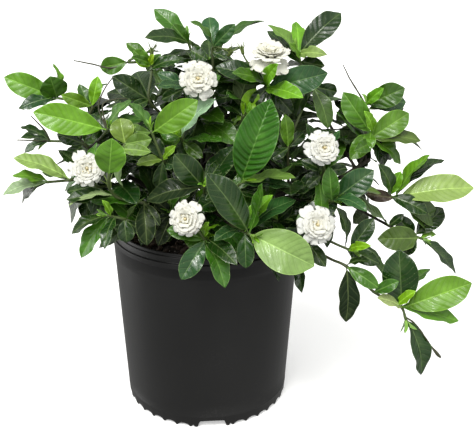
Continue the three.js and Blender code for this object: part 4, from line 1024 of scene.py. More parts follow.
SLIMMEST = 0.4
ROOT_DEPTH = 1.3
WHORL_SPACING = 8.0
UNSEEN_WIDTH = 0.44
LEAF_ARCH = 0.09
LEAF_FOLD = 0.13
LEAF_WAVE = 1.8
CROWDED = 0.45
BENDS = (
    (0, 0, 1), (12, 0, 1), (-12, 0, 1), (0, 0.08, 1), (0, -0.1, 1), (24, 0, 1), (-24, 0, 1), (14, 0.08, 1),
    (-14, 0.08, 1), (14, -0.1, 1), (-14, -0.1, 1), (38, 0, 1), (-38, 0, 1), (30, -0.12, 1), (-30, 0.14, 1),
    (0, 0, 0.85), (18, 0, 0.85), (-18, 0, 0.85), (0, 0, 0.7), (24, 0, 0.7), (-24, 0, 0.7),
)


def sunk_root(node, tip):
    return node + sized(node - tip, ROOT_DEPTH)


def unseen_leaf(node, tip, face, length):
    width = UNSEEN_WIDTH * length
    return dict(root=sunk_root(node, tip), tip=tip, face=face, width=width, shift=face, tone=None)


def seen_leaf(node, row):
    """A leaf that shows narrower than a share of its length is turned about its midrib."""
    across, down, near, shows, tone = row
    tip = seen((across, down, near))
    root = sunk_root(node, tip)
    middle = root + (tip - root) * 0.5
    length = size_of(tip - root)
    ahead = (tip - root) / length
    shown = shows * pixel_size(middle)
    width = max(shown, SLIMMEST * length)
    sight = unit(EYE - middle)
    flat = unit(sight - ahead * float(sight @ ahead))
    side = np.cross(flat, ahead)
    roll = math.acos(min(1.0, shown / width))
    sense = 1 if side[2] >= 0 else -1
    face = flat * math.cos(roll) + side * (sense * math.sin(roll))
    return dict(root=root, tip=tip, face=face, width=width, shift=sight, tone=tone)


def seen_leaves(shoot):
    leaves = []
    for place, (_, *rows) in zip(shoot["places"], shoot["whorls"]):
        below = next(a for a, b in zip(shoot["stem"], shoot["stem"][1:]) if b is place)
        for i, row in enumerate(rows):
            node = place + sized(below - place, i // WHORL_LEAVES * WHORL_SPACING)
            leaves.append(seen_leaf(node, row))
    return leaves


def ring_leaves(whorl):
    leaves = []
    for i in range(WHORL_LEAVES):
        out = around(whorl["ahead"], i * 360 / WHORL_LEAVES + whorl["turn"] + between(-14, 14))
        spread = math.radians(whorl["spread"] + between(-10, 12))
        length = whorl["length"] * between(0.82, 1.12)
        tip = whorl["place"] + out * length * math.sin(spread)
        tip = tip + whorl["ahead"] * length * math.cos(spread) - Z * 0.1 * length
        leaves.append(unseen_leaf(whorl["place"], tip, unit(whorl["ahead"] + Z * 0.7), length))
    return leaves


def bent(leaf, bend, arch, phase):
    shift, bow, share = bend
    tip = leaf["root"] + (leaf["tip"] - leaf["root"]) * share + leaf["shift"] * shift
    return dict(root=leaf["root"], tip=tip, face=leaf["face"], width=leaf["width"] * share, arch=arch + bow,
                fold=LEAF_FOLD, wave=LEAF_WAVE, phase=phase, form=LEAF_FORM, tone=leaf["tone"])


def grow(leaf, owner, may_cross):
    """A leaf without room is bent, arched or shortened until it has, and else it isn't grown."""
    phase = draw()
    arch = LEAF_ARCH * between(0.6, 1.5)

    def own_shoot(holder):
        return holder.startswith(owner)

    def own_stem(holder):
        return holder == owner

    for outer_allows in (own_stem, own_shoot) if may_cross else (own_stem,):
        for bend in BENDS:
            blade = bent(leaf, bend, arch, phase)
            inner = blade_places(blade, 0.08, CROWDED)
            outer = blade_places(blade, CROWDED)
            if is_clear(inner, own_shoot) and is_clear(outer, outer_allows):
                take(inner, owner)
                take(outer, owner + " leaf")
                return blade
    return None


def grow_all(waiting, may_cross):
    for shoot, leaf in waiting:
        blade = grow(leaf, shoot["name"], may_cross)
        if blade:
            shoot["blades"].append(blade)


# The leaves that the photograph shows grow first, from the widest down, and those of the other sides last.
shown = [(shoot, leaf) for shoot in shoots if "whorls" in shoot for leaf in seen_leaves(shoot)]
grow_all(sorted(shown, key=lambda pair: -pair[1]["width"]), True)
unseen = [(shoot, whorl) for shoot in shoots for whorl in shoot.get("rings", ())]
grow_all([(shoot, leaf) for shoot, whorl in unseen for leaf in ring_leaves(whorl)], False)

VEIN_PITCH = 9.0
VEIN_SLANT = (0.62, 0.28)
VEIN_STRAY = 0.24
SWAY = 0.8
LEAF_THICKNESS = 0.5
MIDRIB_DEPTH = 0.7
MARGIN_WAVE = 0.6
TIP_PINCH = 0.45
PLEATED_COLUMNS = (1, 0.94, 0.86, 0.77, 0.68, 0.59, 0.5, 0.41, 0.32, 0.23, 0.15, 0.08, 0)
WIDE_COLUMNS = (1, 0.93, 0.82, 0.7, 0.57, 0.44, 0.31, 0.18, 0.08, 0)
PLAIN_COLUMNS = (1, 0.88, 0.7, 0.5, 0.3, 0.1, 0)
SLIM_COLUMNS = (1, 0.66, 0.14, 0)
LEAF_MARKS = (("place", 3), ("half", 1), ("tint", 3), ("rough", 1), ("run", 1))
leaf_rng = np.random.default_rng(57)


def leaf_tint(tone, rng):
    """A leaf's own colour: its tone, a little lighter or darker, greener or yellower."""
    red, green, blue, rough, _ = tone
    light = math.exp(rng.normal(0, 0.13))
    warm = math.exp(rng.normal(0, 0.10))
    return [red * light * warm, green * light, blue * light / warm, rough + rng.uniform(-0.04, 0.05)]


def both_faces(columns):
    """Places across a closed blade, over its upper face and back under it, and how many of them are upper."""
    upper = np.array([*columns, *[-v for v in columns[-2::-1]]])
    return np.concatenate([upper, -upper[1:-1]])[None, :], len(upper)


def add_both_faces(skins, rings, uppers, slots, values, ends):
    """A closed blade from its rings and the values to mark them with, sharp along its margins."""
    marks = np.stack([np.broadcast_to(value, rings.shape[:2]) for value in values], axis=-1)
    end_marks = marks[[0, -1], 0]
    end_marks[:, 1] = 0
    skins.add_rings(rings, slots, marks, *ends, end_marks, (0, uppers - 1))


def add_blade(skins, blade, tint, columns, row_step, quilt, slots, thickness=LEAF_THICKNESS, petiole=1.6):
    """A closed leaf: its upper face from one margin to the other, then its lower face back again."""
    length = blade_frame(blade)[1]
    half_most = blade["width"] / 2
    rows = max(7, int(length / row_step))
    v, uppers = both_faces(columns)
    order = np.arange(v.size)
    u = (np.arange(1, rows + 1) / (rows + 1))[:, None] ** 0.97
    half = half_width(blade, u)
    fullness = np.clip(half / half_most, 0, 1)
    away = np.abs(v) * half
    reach = away / max(half_most, 0.1)
    slant = (VEIN_SLANT[0] * away + VEIN_SLANT[1] * reach ** 2 * half_most) / length
    veins = max(4, round(length / VEIN_PITCH))
    stray = np.sin(2 * math.pi * (1.7 * u + 5 * blade["phase"])) + 0.8 * np.sign(v)
    pleat = veins * (u - slant) + VEIN_STRAY * stray
    swell = np.sin(math.pi * pleat) ** 2 - 0.45
    across = np.clip(away / 2.2, 0, 1) * np.clip((1 - np.abs(v)) / 0.22, 0, 1)
    lift = quilt * swell * across * np.clip(half / (0.4 * half_most), 0, 1)
    ripple = np.sin(2 * math.pi * (4.6 * u + blade["phase"] * 3 + np.sign(v) * 0.2)) * MARGIN_WAVE
    lift = lift + ripple * np.abs(v) ** 3 * fullness * min(1.0, half_most / 9)
    sway = np.sin(2 * math.pi * (1.2 * u + 3 * blade["phase"])) * v + 0.4 * np.sin(2 * math.pi * 2.1 * u)
    lift = lift + SWAY * sway * fullness * min(1.0, half_most / 14)
    stalk = np.clip(1 - u / 0.13, 0, 1)
    depth = (thickness + (petiole - thickness) * stalk) / 2 * np.sqrt(np.clip(1 - v ** 2, 0, 1))
    groove = np.exp(-(away / 1.1) ** 2) * (1 - stalk)
    lift = lift + np.where(order < uppers, depth - 0.22 * groove, -depth - MIDRIB_DEPTH * groove * (1 - u))
    pinch = 1 - TIP_PINCH * np.clip((u - 0.8) / 0.2, 0, 1) ** 2
    rings = blade_points(blade, u + 0 * v, v * pinch, lift)
    ends = blade_points(blade, np.array([0.0, 1.0]), np.zeros(2))
    values = (u, v, pleat, half, *tint, u * length)
    add_both_faces(skins, rings, uppers, np.where(order < uppers - 1, *slots), values, ends)


def leaf_vein_group():
    """Where a leaf's veins and margins run, from its place marks: masks for midrib, veins and margin."""
    results = ("Midrib", "Veins", "Margin", "Pleat")
    group, given = new_group("leaf_veins", ("Place", "Half Width", "Wander"), results)
    parts = add_node(group, "ShaderNodeSeparateXYZ", {0: given["Place"]}).outputs
    off = math_node(group, "ABSOLUTE", parts["Y"])
    away = scaled(group, off, given["Half Width"])
    midrib = ramp(group, math_node(group, "DIVIDE", away, scaled(group, parts["X"], -0.75, 1.15)), 1.15, 0.45)
    off_vein = math_node(group, "PINGPONG", math_node(group, "ADD", parts["Z"], given["Wander"]), 0.5)
    veins = scaled(group, ramp(group, off_vein, 0.15, 0.03), ramp(group, off, 0.98, 0.75))
    margin = ramp(group, math_node(group, "SUBTRACT", given["Half Width"], away), 1.25, 0.35)
    add_node(group, "NodeGroupOutput", dict(zip(results, (midrib, veins, margin, off_vein))))
    return group


LEAF_VEINS = leaf_vein_group()


def brightened(tree, colour, factor):
    return add_node(tree, "ShaderNodeVectorMath", {0: colour, 3: factor}, operation="SCALE").outputs[0]


def leaf_material(name, lower):
    """One face of the leaves. The lower face is paler and matt, with raised veins."""
    material, tree = new_material(name)
    place = object_place(tree)
    cloud = noise(tree, place, 38.0)
    mottle = noise(tree, place, 420.0, 4.0, 0.6)
    spot, own_rough = mark(tree, "place", "Vector"), mark(tree, "rough")
    wander = scaled(tree, noise(tree, place, 120.0, 2.0), 0.34, -0.17)
    inputs = {"Place": spot, "Half Width": mark(tree, "half"), "Wander": wander}
    masks = add_node(tree, "ShaderNodeGroup", inputs, node_tree=LEAF_VEINS).outputs
    pleats = ramp(tree, masks["Pleat"], 0.04, 0.3)
    light = scaled(tree, mottle, 0.26, scaled(tree, cloud, 0.7, 0.62))
    # Painted shade: the blade is painted darker towards each lateral vein, as shade in the valleys of its
    # quilting.
    light = scaled(tree, light, scaled(tree, pleats, 0.16, 0.88))
    colour = brightened(tree, mark(tree, "tint", "Color"), light)
    if lower:
        colour = mix_colour(tree, 0.38, colour, (0.16, 0.22, 0.09))
    bright = mix_colour(tree, 0.22, brightened(tree, colour, 2.0), (0.42, 0.52, 0.20))
    off_midrib = math_node(tree, "ABSOLUTE", add_node(tree, "ShaderNodeSeparateXYZ", {0: spot}).outputs["Y"])
    flush = scaled(tree, ramp(tree, off_midrib, 0.75, 0.05), ramp(tree, cloud, 0.4, 0.7))
    veins = masks["Veins"], 0.45 if lower else 0.18
    # The lighter margin is partly the leaf's own pale rim and partly a painted highlight along its edge.
    for mask, share in ((flush, 0.3), veins, (masks["Midrib"], 0.8), (masks["Margin"], 0.6)):
        colour = mix_colour(tree, scaled(tree, mask, share), colour, bright)
    rough = scaled(tree, mottle, 0.14, own_rough)
    if lower:
        rough = math_node(tree, "ADD", rough, 0.26)
    normal = bump(tree, scaled(tree, masks["Midrib"], 0.8, pleats), 0.3, -0.0009 if lower else 0.0006)
    normal = bump(tree, noise(tree, place, 75.0, 2.0), 0.5, 0.003, normal)
    normal = bump(tree, mottle, 0.15, 0.0003, normal)
    shine = {"IOR": 1.47} if lower else {"IOR": 1.40, "Coat Weight": 0.2, "Coat Roughness": 0.1}
    shine["Specular IOR Level"] = scaled(tree, ramp(tree, own_rough, 0.85, 0.6), 0.5)
    finish_material(tree, colour, rough, normal, **shine)
    return material


def stem_material():
    material, tree = new_material("green_stems")
    place = object_place(tree)
    cloud = noise(tree, place, 240.0, 4.0)
    grey = mix_colour(tree, cloud, (0.055, 0.062, 0.025), (0.11, 0.12, 0.05))
    colour = mix_colour(tree, 0.72, grey, mark(tree, "tint", "Color"))
    ribs = noise(tree, stretched(tree, place, 1.0, 1.0, 0.3), 1100.0)
    finish_material(tree, colour, scaled(tree, cloud, 0.2, 0.42), bump(tree, ribs, 0.4, 0.0004))
    return material


LEAF_MATERIALS = [leaf_material("leaf_upper", False), leaf_material("leaf_lower", True), stem_material()]
UPPER, LOWER, STEM = range(3)
STEM_GREEN = np.array([0.075, 0.13, 0.024, 0.4])
STEM_BROWN = np.array([0.030, 0.030, 0.012, 0.5])
SEPAL_GREEN = [0.16, 0.24, 0.05, 0.4]
SEPALS = 5
SEPAL_LENGTH = 15.0
TUFT_LEAVES = 5
STEM_SIDES = 10
JOINT_SWELL = 0.25
JOINT_REACH = 2.4
CALYX_SIDES = 15
WIDE_LEAF = 28
CALYX_RADIUS = 3.4


def stem_mark(tint):
    return np.array([0, 0, 0, 3.0, *tint, 0])


def add_calyx(skins, head):
    """A ribbed green cup under the bloom, with five narrow sepals."""
    size, face = head["size"], head["face"]
    length = CALYX_LENGTH * size
    shares = np.linspace(0, 1, 7)
    places = head["base"] - face * ((1 - shares) * length)[:, None]
    radii = STEM_RADIUS * 1.1 + (CALYX_RADIUS * size - STEM_RADIUS * 1.1) * shares ** 0.6
    add_stalk(skins, places, radii, CALYX_SIDES, STEM, stem_mark(SEPAL_GREEN), 0.12, 5)
    root = head["base"] - face * length * 0.6
    lean = 0.9 if size < 1 else -0.55
    for i in range(SEPALS):
        out = around(face, i * 360 / SEPALS)
        tip = root + out * SEPAL_LENGTH * (1 - abs(lean) / 3) + face * SEPAL_LENGTH * lean
        sepal = dict(root=root, tip=tip, face=face, width=2.0, arch=0.05, fold=0.2, wave=0, phase=0,
                     form=SEPAL_FORM)
        add_blade(skins, sepal, SEPAL_GREEN, SLIM_COLUMNS, 2.0, 0.0, (STEM, STEM), petiole=1.0)


def add_tip_tuft(skins, place, ahead, rng):
    """The bud at a shoot's tip, with a few young leaves standing round it."""
    for i in range(TUFT_LEAVES):
        out = around(ahead, i * 144 + rng.uniform(-15, 15))
        lean = rng.uniform(0.25, 0.75) if i else 0.08
        length = rng.uniform(11, 24) if i else 12.0
        root = place - ahead * 1.5
        tip = root + (out * math.sin(lean) + ahead * math.cos(lean)) * length
        face = unit(ahead - out * 0.4)
        tint = leaf_tint(LIME if rng.uniform() < 0.6 else LIGHT, rng)
        arch = rng.uniform(0.02, 0.12)
        young = dict(root=root, tip=tip, face=face, width=length * 0.3, arch=arch, fold=0.3, wave=0.4,
                     phase=rng.uniform(), form=LEAF_FORM)
        add_blade(skins, young, tint, SLIM_COLUMNS, 2.4, 0.0, (UPPER, LOWER), 0.6, 1.2)


def make_shoot(shoot):
    skins = Skins(LEAF_MARKS)
    stem = shoot["stem"]
    length, at = arc(smooth_curve(stem))
    places = at(np.linspace(0, 1, max(6, int(length / 3))))
    radii = np.linspace(STEM_RADIUS, STEM_END_RADIUS, len(places))
    for joint in shoot["places"]:
        away = np.linalg.norm(places - joint, axis=1)
        radii = radii * (1 + JOINT_SWELL * np.exp(-(away / JOINT_REACH) ** 2))
    marks = np.tile(stem_mark(STEM_GREEN), (len(places), 1, 1))
    ripeness = np.linspace(1, 0, len(places))[:, None, None] ** 1.4
    marks[..., 4:8] = STEM_GREEN + (STEM_BROWN - STEM_GREEN) * ripeness
    add_stalk(skins, places, radii, STEM_SIDES, STEM, marks, 0.05, 8)
    if shoot["head"]:
        add_calyx(skins, shoot["head"])
    else:
        add_tip_tuft(skins, stem[-1], unit(stem[-1] - stem[-2]), leaf_rng)
    for blade in shoot["blades"]:
        tone = blade["tone"] or (DARK if leaf_rng.uniform() < 0.5 else MID)
        slots = (LOWER, UPPER) if tone is PALE else (UPPER, LOWER)
        if tone is LUSH:
            columns, step, fold = PLEATED_COLUMNS, 1.0, 3.6
        elif blade["width"] > WIDE_LEAF:
            columns, step, fold = WIDE_COLUMNS, 1.9, 1.7
        else:
            columns, step, fold = PLAIN_COLUMNS, 2.6 if blade["tone"] else 3.2, 1.7
        blade = dict(blade, fold=blade["fold"] * fold)
        quilt = tone[4] * leaf_rng.uniform(0.7, 1.25)
        add_blade(skins, blade, leaf_tint(tone, leaf_rng), columns, step, quilt, slots)
    make_piece(shoot["name"] + "_leaves", skins, LEAF_MATERIALS, [shoot["name"]])


# Smaller and older leaves of the same shoots, close behind the large ones of the front: first the place that
# each grows near, then its tip, how wide it shows and its tone.
CLOSE_LEAVES = (
    ((395, 198, 84), (438, 222, 62, 22, MOSS), (428, 232, 70, 14, MOSS), (366, 194, 76, 13, BROWN)),
    ((374, 219, 96), (341, 201, 104, 10, MOSS), (404, 214, 88, 9, DARK)),
    ((350, 250, 130), (391, 281, 134, 10, MOSS), (380, 258, 124, 12, DARK)),
    ((371, 133, 60), (350, 160, 92, 18, FRESH), (367, 151, 84, 13, FRESH), (344, 157, 52, 15, DARK),
     (362, 168, 50, 15, PAINTED_SHADE), (384, 166, 44, 15, DARK), (396, 152, 40, 14, DARK)),
    ((366, 105, 8), (406, 102, -8, 18, GREY), (348, 108, 2, 12, MID)),
    ((150, 64, 44), (133, 50, 48, 14, FRESH), (136, 62, 54, 8, LIME), (154, 54, 58, 6, LIME),
     (161, 54, 50, 9, MID), (176, 66, 40, 10, DARK)),
    ((268, 86, 52), (293, 114, 62, 16, DARK), (250, 108, 58, 14, DARK), (280, 120, 60, 15, DARK)),
    ((50, 98, 50), (20, 108, 58, 13, GREY)),
)
close_rng = np.random.default_rng(88)


def add_close_leaf(near_place, row):
    """The leaf is rooted at the point of the green stems that is nearest to a place."""
    shares = np.linspace(0, 1, 40)
    stems = [smooth_curve(shoot["stem"])(shares) for shoot in shoots]
    away = np.linalg.norm(np.array(stems) - seen(near_place), axis=2)
    which, where = np.unravel_index(np.argmin(away), away.shape)
    leaf = seen_leaf(stems[which][where], row)
    shoots[which]["blades"].append(bent(leaf, BENDS[0], LEAF_ARCH, close_rng.uniform()))


for near_place, *rows in CLOSE_LEAVES:
    for row in rows:
        add_close_leaf(near_place, row)

for shoot in shoots:
    make_shoot(shoot)


# The inner leaves. Older, darker leaves stand along the twigs behind those of the shoots and fill the crown.
# They are of the same thick, leathery kind, each rooted in its twig by a short stalk.
FINE_ROOM = 3.0
INNER_LEAVES = 300
INNER_TRIES = 5000
INNER_REACH = 0.93
INNER_OVER_RIM = 4.0
INNER_STEP = 3.9
INNER_COLUMNS = (1, 0.72, 0.36, 0.1, 0)
MOST_CROSSED = 0.05
MOST_IN_FRONT = 0.04
IN_FRONT = 3.0
inner_rng = np.random.default_rng(1207)


def picture_cells(places):
    """The picture's cell that each place shows in, and how far away it is."""
    away = places - EYE
    depth = away @ AHEAD
    across = PICTURE[0] / 2 + EYE_FOCAL * (away @ RIGHT) / depth
    down = PICTURE[1] / 2 - EYE_FOCAL * (away @ UP) / depth
    column = np.clip(across.astype(int), 0, PICTURE[0] - 1)
    row = np.clip(down.astype(int), 0, PICTURE[1] - 1)
    return row, column, depth


def fine_cubes(places):
    return {tuple(cube) for cube in np.floor(places / FINE_ROOM).astype(int)}


def inner_leaf(rng):
    """A leaf somewhere along a twig or a green stem, turned out and a little down."""
    shoot = shoots[int(rng.integers(len(shoots)))]
    line = shoot["wood"] if rng.uniform() < 0.55 else shoot["stem"][:3]
    _, at = arc(smooth_curve(line))
    share = rng.uniform(0.3, 1.0) if line is shoot["wood"] else rng.uniform(0, 1)
    place, beyond = at([share, min(1.0, share + 0.02)])
    ahead = unit(beyond - place) if share < 0.98 else unit(line[-1] - line[-2])
    out = around(ahead, rng.uniform(0, 360))
    spread = math.radians(rng.uniform(40, 88))
    length = rng.uniform(46, 86)
    tip = place + (out * math.sin(spread) + ahead * math.cos(spread)) * length
    tip = tip - Z * rng.uniform(0, 0.25) * length
    leaf = unseen_leaf(place, tip, unit(ahead * 0.5 + Z * 0.8 + rng.normal(0, 0.25, 3)), length)
    return shoot["bough"], bent(leaf, BENDS[0], LEAF_ARCH * rng.uniform(0.5, 1.6), rng.uniform())


def grow_inner_leaves():
    """Leaves are tried, and kept inside the crown, behind the leaves that show and mostly clear of others."""
    nearest = np.full((PICTURE[1], PICTURE[0]), np.inf)
    occupied = set()
    for shoot in shoots:
        for blade in shoot["blades"] + [blade for _, blade in shoot.get("petals", [])]:
            occupied |= fine_cubes(blade_places(blade, spacing=FINE_ROOM * 0.8))
            if "whorls" in shoot:
                row, column, depth = picture_cells(blade_places(blade, spacing=0.9))
                np.minimum.at(nearest, (row, column), depth)
    grown = {name: [] for name in BOUGHS}
    for _ in range(INNER_TRIES):
        if sum(map(len, grown.values())) >= INNER_LEAVES:
            break
        bough, blade = inner_leaf(inner_rng)
        places = blade_places(blade, 0.15, spacing=FINE_ROOM)
        row, column, depth = picture_cells(places)
        front = nearest[row, column]
        in_front = (depth < front - IN_FRONT)[np.isfinite(front)].sum()
        cubes = fine_cubes(places)
        crown_share = size_of((blade["tip"] - CROWN_MIDDLE) / CROWN_REACH)
        fits = crown_share <= INNER_REACH and (places[:, 2] >= POT_HEIGHT + INNER_OVER_RIM).all()
        crossed = len(cubes & occupied) > MOST_CROSSED * len(cubes)
        if fits and not crossed and in_front <= MOST_IN_FRONT * len(places):
            occupied |= cubes
            grown[bough].append(blade)
    return grown


def make_inner_leaves():
    for bough, blades in grow_inner_leaves().items():
        skins = Skins(LEAF_MARKS)
        for blade in blades:
            tone = DARK if inner_rng.uniform() < 0.7 else MID
            tint = leaf_tint(tone, inner_rng)
            quilt = tone[4] * inner_rng.uniform(0.6, 1.1)
            add_blade(skins, blade, tint, INNER_COLUMNS, INNER_STEP, quilt, (UPPER, LOWER))
        make_piece(bough.replace("wood", "inner_leaves"), skins, LEAF_MATERIALS)


make_inner_leaves()


# The bare ends. Dry twigs whose leaves have dropped, the dark bud on its long stalk at the lower right, and
# the ribbed green cups, with their thin sepals, that stay at a shoot's end when its bloom has fallen.
TWIG_PATHS = (
    ((128, 62, 50), (112, 68, 52), (92, 64, 54), (73.5, 60.5, 56)),
    ((366, 105, 8), (358, 92, 7), (350, 79, 5), (342.8, 64.3, 3)),
    ((107, 130, 96), (98.5, 106, 88), (104, 90, 82), (113, 77, 78)),
    ((107, 130, 96), (103, 104, 88), (114, 99.5, 84), (127, 98.7, 80)),
    ((50, 141, 64), (45, 131, 66), (36, 121, 68), (30.6, 115.6, 70)),
    ((50, 141, 64), (33, 140.5, 66), (17, 140, 66)),
)
BUD_PATH = ((405, 317, 147), (413, 322, 149), (424, 336, 152), (434, 350, 154), (441, 358, 155))
CUP_PATHS = (
    ((150, 64, 44), (151, 59, 46), (151.5, 56, 47)),
    ((213, 47, 6), (221, 57, 10), (228, 56, 14)),
    ((268, 86, 52), (255, 70, 42), (246, 60, 36), (243, 54, 34)),
    ((115, 196, 134), (112, 192, 140), (110, 188, 144)),
)
TWIG_TIP_RADIUS = 0.7
BARE_SIDES = 8
BARE_RADIUS = 1.3
BUD_SHARES = (0, 0.72, 0.8, 0.9, 0.97, 1)
BUD_RADII = (1.3, 0.9, 1.5, 2.4, 1.8, 0.6)
CUP_SIZE = 0.85
CUP_FACE = np.array([0.0, -0.25, 1.0])


def add_bare(skins, path, radius_shares, radii, tint):
    length, at = arc(smooth_curve([seen(place) for place in path]))
    shares = np.linspace(0, 1, max(8, int(length / 2.5)))
    places = at(shares)
    radii = np.interp(shares, radius_shares, radii)
    add_stalk(skins, places, radii, BARE_SIDES, STEM, stem_mark(tint), 0.12, 8)
    return places


def make_bare_ends():
    twigs = Skins(LEAF_MARKS)
    for path in TWIG_PATHS:
        add_bare(twigs, path, (0, 0.7, 1), (BARE_RADIUS, BARE_RADIUS * 0.7, TWIG_TIP_RADIUS), STEM_BROWN)
    add_bare(twigs, BUD_PATH, BUD_SHARES, BUD_RADII, STEM_BROWN)
    make_piece("bare_twigs", twigs, LEAF_MATERIALS)
    cups = Skins(LEAF_MARKS)
    for path in CUP_PATHS:
        places = add_bare(cups, path, (0, 1), (BARE_RADIUS, BARE_RADIUS), STEM_GREEN)
        face = unit(unit(places[-1] - places[-2]) + CUP_FACE)
        add_calyx(cups, dict(base=places[-1] + face * CALYX_LENGTH * CUP_SIZE, face=face, size=CUP_SIZE))
    make_piece("spent_cups", cups, LEAF_MATERIALS)


make_bare_ends()


# The blooms. Double gardenia flowers: thick, waxy white petals in layers round a cream heart, with worn and
# toothed margins, ageing to yellow, seated on the calyx at the end of a short shoot.
PETAL_COLUMNS = (1, 0.94, 0.82, 0.66, 0.46, 0.24, 0)
PETAL_MARKS = (("place", 3), ("age", 1), ("layer", 1))
TOOTH = 0.09
UNEVEN = (-0.16, 0.04)
OUTER_WIDTH = 0.98
INNER_WIDTH = 1.18
BETWEEN = ((0.74, 0.84), (0.8, 0.95), (0.8, 0.9))
HEART_LAYER = (4, 0.42, 0.36, 24, 0.85, 0.18, 0.3)
PETAL_ROWS = 18
OUTER_NOTCH = (0.6, 3.6)
INNER_NOTCH = (0.1, 0.9)
petal_draw = np.random.default_rng(93).uniform


def petal_material():
    material, tree = new_material("waxy_petals")
    place = object_place(tree)
    parts = add_node(tree, "ShaderNodeSeparateXYZ", {0: mark(tree, "place", "Vector")}).outputs
    cloud = noise(tree, place, 130.0)
    warm = scaled(tree, mark(tree, "age"), 0.5, scaled(tree, cloud, 0.2))
    colour = mix_colour(tree, warm, (0.71, 0.72, 0.70), (0.77, 0.77, 0.65))
    deep = ramp(tree, parts["X"], 0.55, 0.0)
    heart = scaled(tree, mark(tree, "layer"), 0.1, scaled(tree, deep, 0.4))
    colour = mix_colour(tree, heart, colour, (0.70, 0.66, 0.44))
    off = math_node(tree, "ABSOLUTE", parts["Y"])
    rim = math_node(tree, "MAXIMUM", ramp(tree, off, 0.9, 1.0), ramp(tree, parts["X"], 0.95, 1.0))
    worn = scaled(tree, rim, ramp(tree, noise(tree, place, 300.0), 0.5, 0.68))
    colour = mix_colour(tree, scaled(tree, worn, 0.55), colour, (0.42, 0.30, 0.14))
    lines = {0: scaled(tree, parts["Y"], 9.0), 1: scaled(tree, parts["X"], 1.6), 2: parts["Z"]}
    grain = noise(tree, add_node(tree, "ShaderNodeCombineXYZ", lines).outputs[0], 1.6)
    glow = {"Subsurface Weight": 0.15, "Subsurface Scale": 0.003, "Subsurface Radius": (1.0, 0.95, 0.85)}
    finish_material(tree, colour, scaled(tree, cloud, 0.15, 0.5), bump(tree, grain, 0.2, 0.0006), **glow)
    return material


def add_petal(skins, blade, layer, age):
    """A closed petal with a soft fan of pleats, an uneven toothed margin and a curled lip."""
    v, uppers = both_faces(PETAL_COLUMNS)
    u = 1 - (1 - np.arange(1, PETAL_ROWS + 1)[:, None] / (PETAL_ROWS + 1)) ** 1.7
    outermost = layer < 1
    turns = petal_draw(0, 2 * math.pi, 4)
    tooth = np.sin(5.5 * v + turns[0]) * 0.6 + np.sin(12 * v + turns[1]) * 0.4
    side_tooth = np.sin(13 * u + turns[2] + 2 * np.sign(v)) * 0.6 + np.sin(27 * u + turns[3]) * 0.4
    cut = petal_draw(-0.5, 0.5)
    notch = np.exp(-((v - cut) / 0.18) ** 2) * petal_draw(*OUTER_NOTCH if outermost else INNER_NOTCH)
    uneven = petal_draw(*UNEVEN) if outermost else 0.0
    stretch = (TOOTH * (tooth - notch) + uneven) * u ** 4
    spread = OUTER_WIDTH if outermost else INNER_WIDTH
    wide = v * (spread + 0.07 * side_tooth * np.clip(u * 2, 0, 1) + 0.16 * u ** 3)
    curl = petal_draw(-0.8, 1.0) * u ** 3 - petal_draw(0.1, 0.7) * np.abs(v) ** 2 * u
    pleats = 0.35 * np.sin(9 * v + turns[0]) * u ** 2
    depth = 0.45 * np.sqrt(np.clip(1 - v ** 2, 0, 1)) * np.clip((1.02 - u) * 4, 0.15, 1)
    lift = curl + pleats + np.where(np.arange(v.size) < uppers, depth, -depth)
    rings = blade_points(blade, u + 0 * v, wide, lift, stretch)
    middle = uppers // 2
    tip_lift, tip_stretch = np.array([0, curl[-1, middle]]), np.array([0, stretch[-1, middle]])
    ends = blade_points(blade, np.array([0.0, 1.0]), np.zeros(2), tip_lift, tip_stretch)
    add_both_faces(skins, rings, uppers, 0, (u, v, petal_draw(0, 50), age, layer), ends)


PETALS = petal_material()


def make_bloom(shoot):
    head, name = shoot["head"], shoot["bloom"]
    face, half_open = head["face"], head["spread"] < 1
    skins = Skins(PETAL_MARKS)
    shares = np.linspace(0, 1, 5)
    places = head["base"] + face * (shares * CORE_HEIGHT)[:, None]
    core_mark = (0, 0, 0, head["age"], 2.0)
    add_stalk(skins, places, CORE_RADIUS * (0.75 + 0.25 * shares), 12, 0, core_mark)
    for order, blade in shoot["petals"]:
        age = head["age"] + petal_draw(-0.15, 0.15)
        add_petal(skins, blade, order, age)
        if order != 1 and not half_open:
            continue
        layer = PETAL_LAYERS[order]
        across = blade["tip"] - blade["root"]
        out = unit(across - face * float(across @ face))
        turn = math.radians(180 / layer[0] + petal_draw(-8, 8))
        beside = unit(out * math.cos(turn) + np.cross(face, out) * math.sin(turn))
        tilt = math.radians(layer[3] * head["spread"] - petal_draw(7, 16) + (0 if order else 55) * half_open)
        length = size_of(across) * (petal_draw(*BETWEEN[order]) + 0.15 * half_open)
        add_petal(skins, petal(head, beside, tilt, length, layer, petal_draw()), order + 0.5, age)
    for i in range(HEART_LAYER[0]):
        out = around(face, i * 360 / HEART_LAYER[0] + petal_draw(-14, 14))
        tilt = math.radians(petal_draw(20, 50))
        length = head["radius"] * petal_draw(0.22, 0.32)
        inner = petal(head, out, tilt, length, HEART_LAYER, petal_draw())
        add_petal(skins, inner, len(PETAL_LAYERS), head["age"] + 0.2)
    make_piece(name + "_petals", skins, [PETALS], [name])


for shoot in blooming:
    make_bloom(shoot)


# The stamens. Narrow pale filaments with tan anthers lie like a star round a thick cream stigma. They are
# soft, and stand on the bloom's core between the innermost petals.
STAMENS = 5
STIGMA_LENGTH = 5.0
STAMEN_REACH = 6.5
STAMEN_RISE = 1.6


def stamen_material():
    material, tree = new_material("pollen_tan")
    grain = noise(tree, object_place(tree), 1500.0)
    colour = mix_colour(tree, grain, (0.60, 0.49, 0.24), (0.80, 0.72, 0.45))
    finish_material(tree, colour, scaled(tree, grain, 0.15, 0.62), bump(tree, grain, 0.5, 0.0003))
    return material


POLLEN = stamen_material()


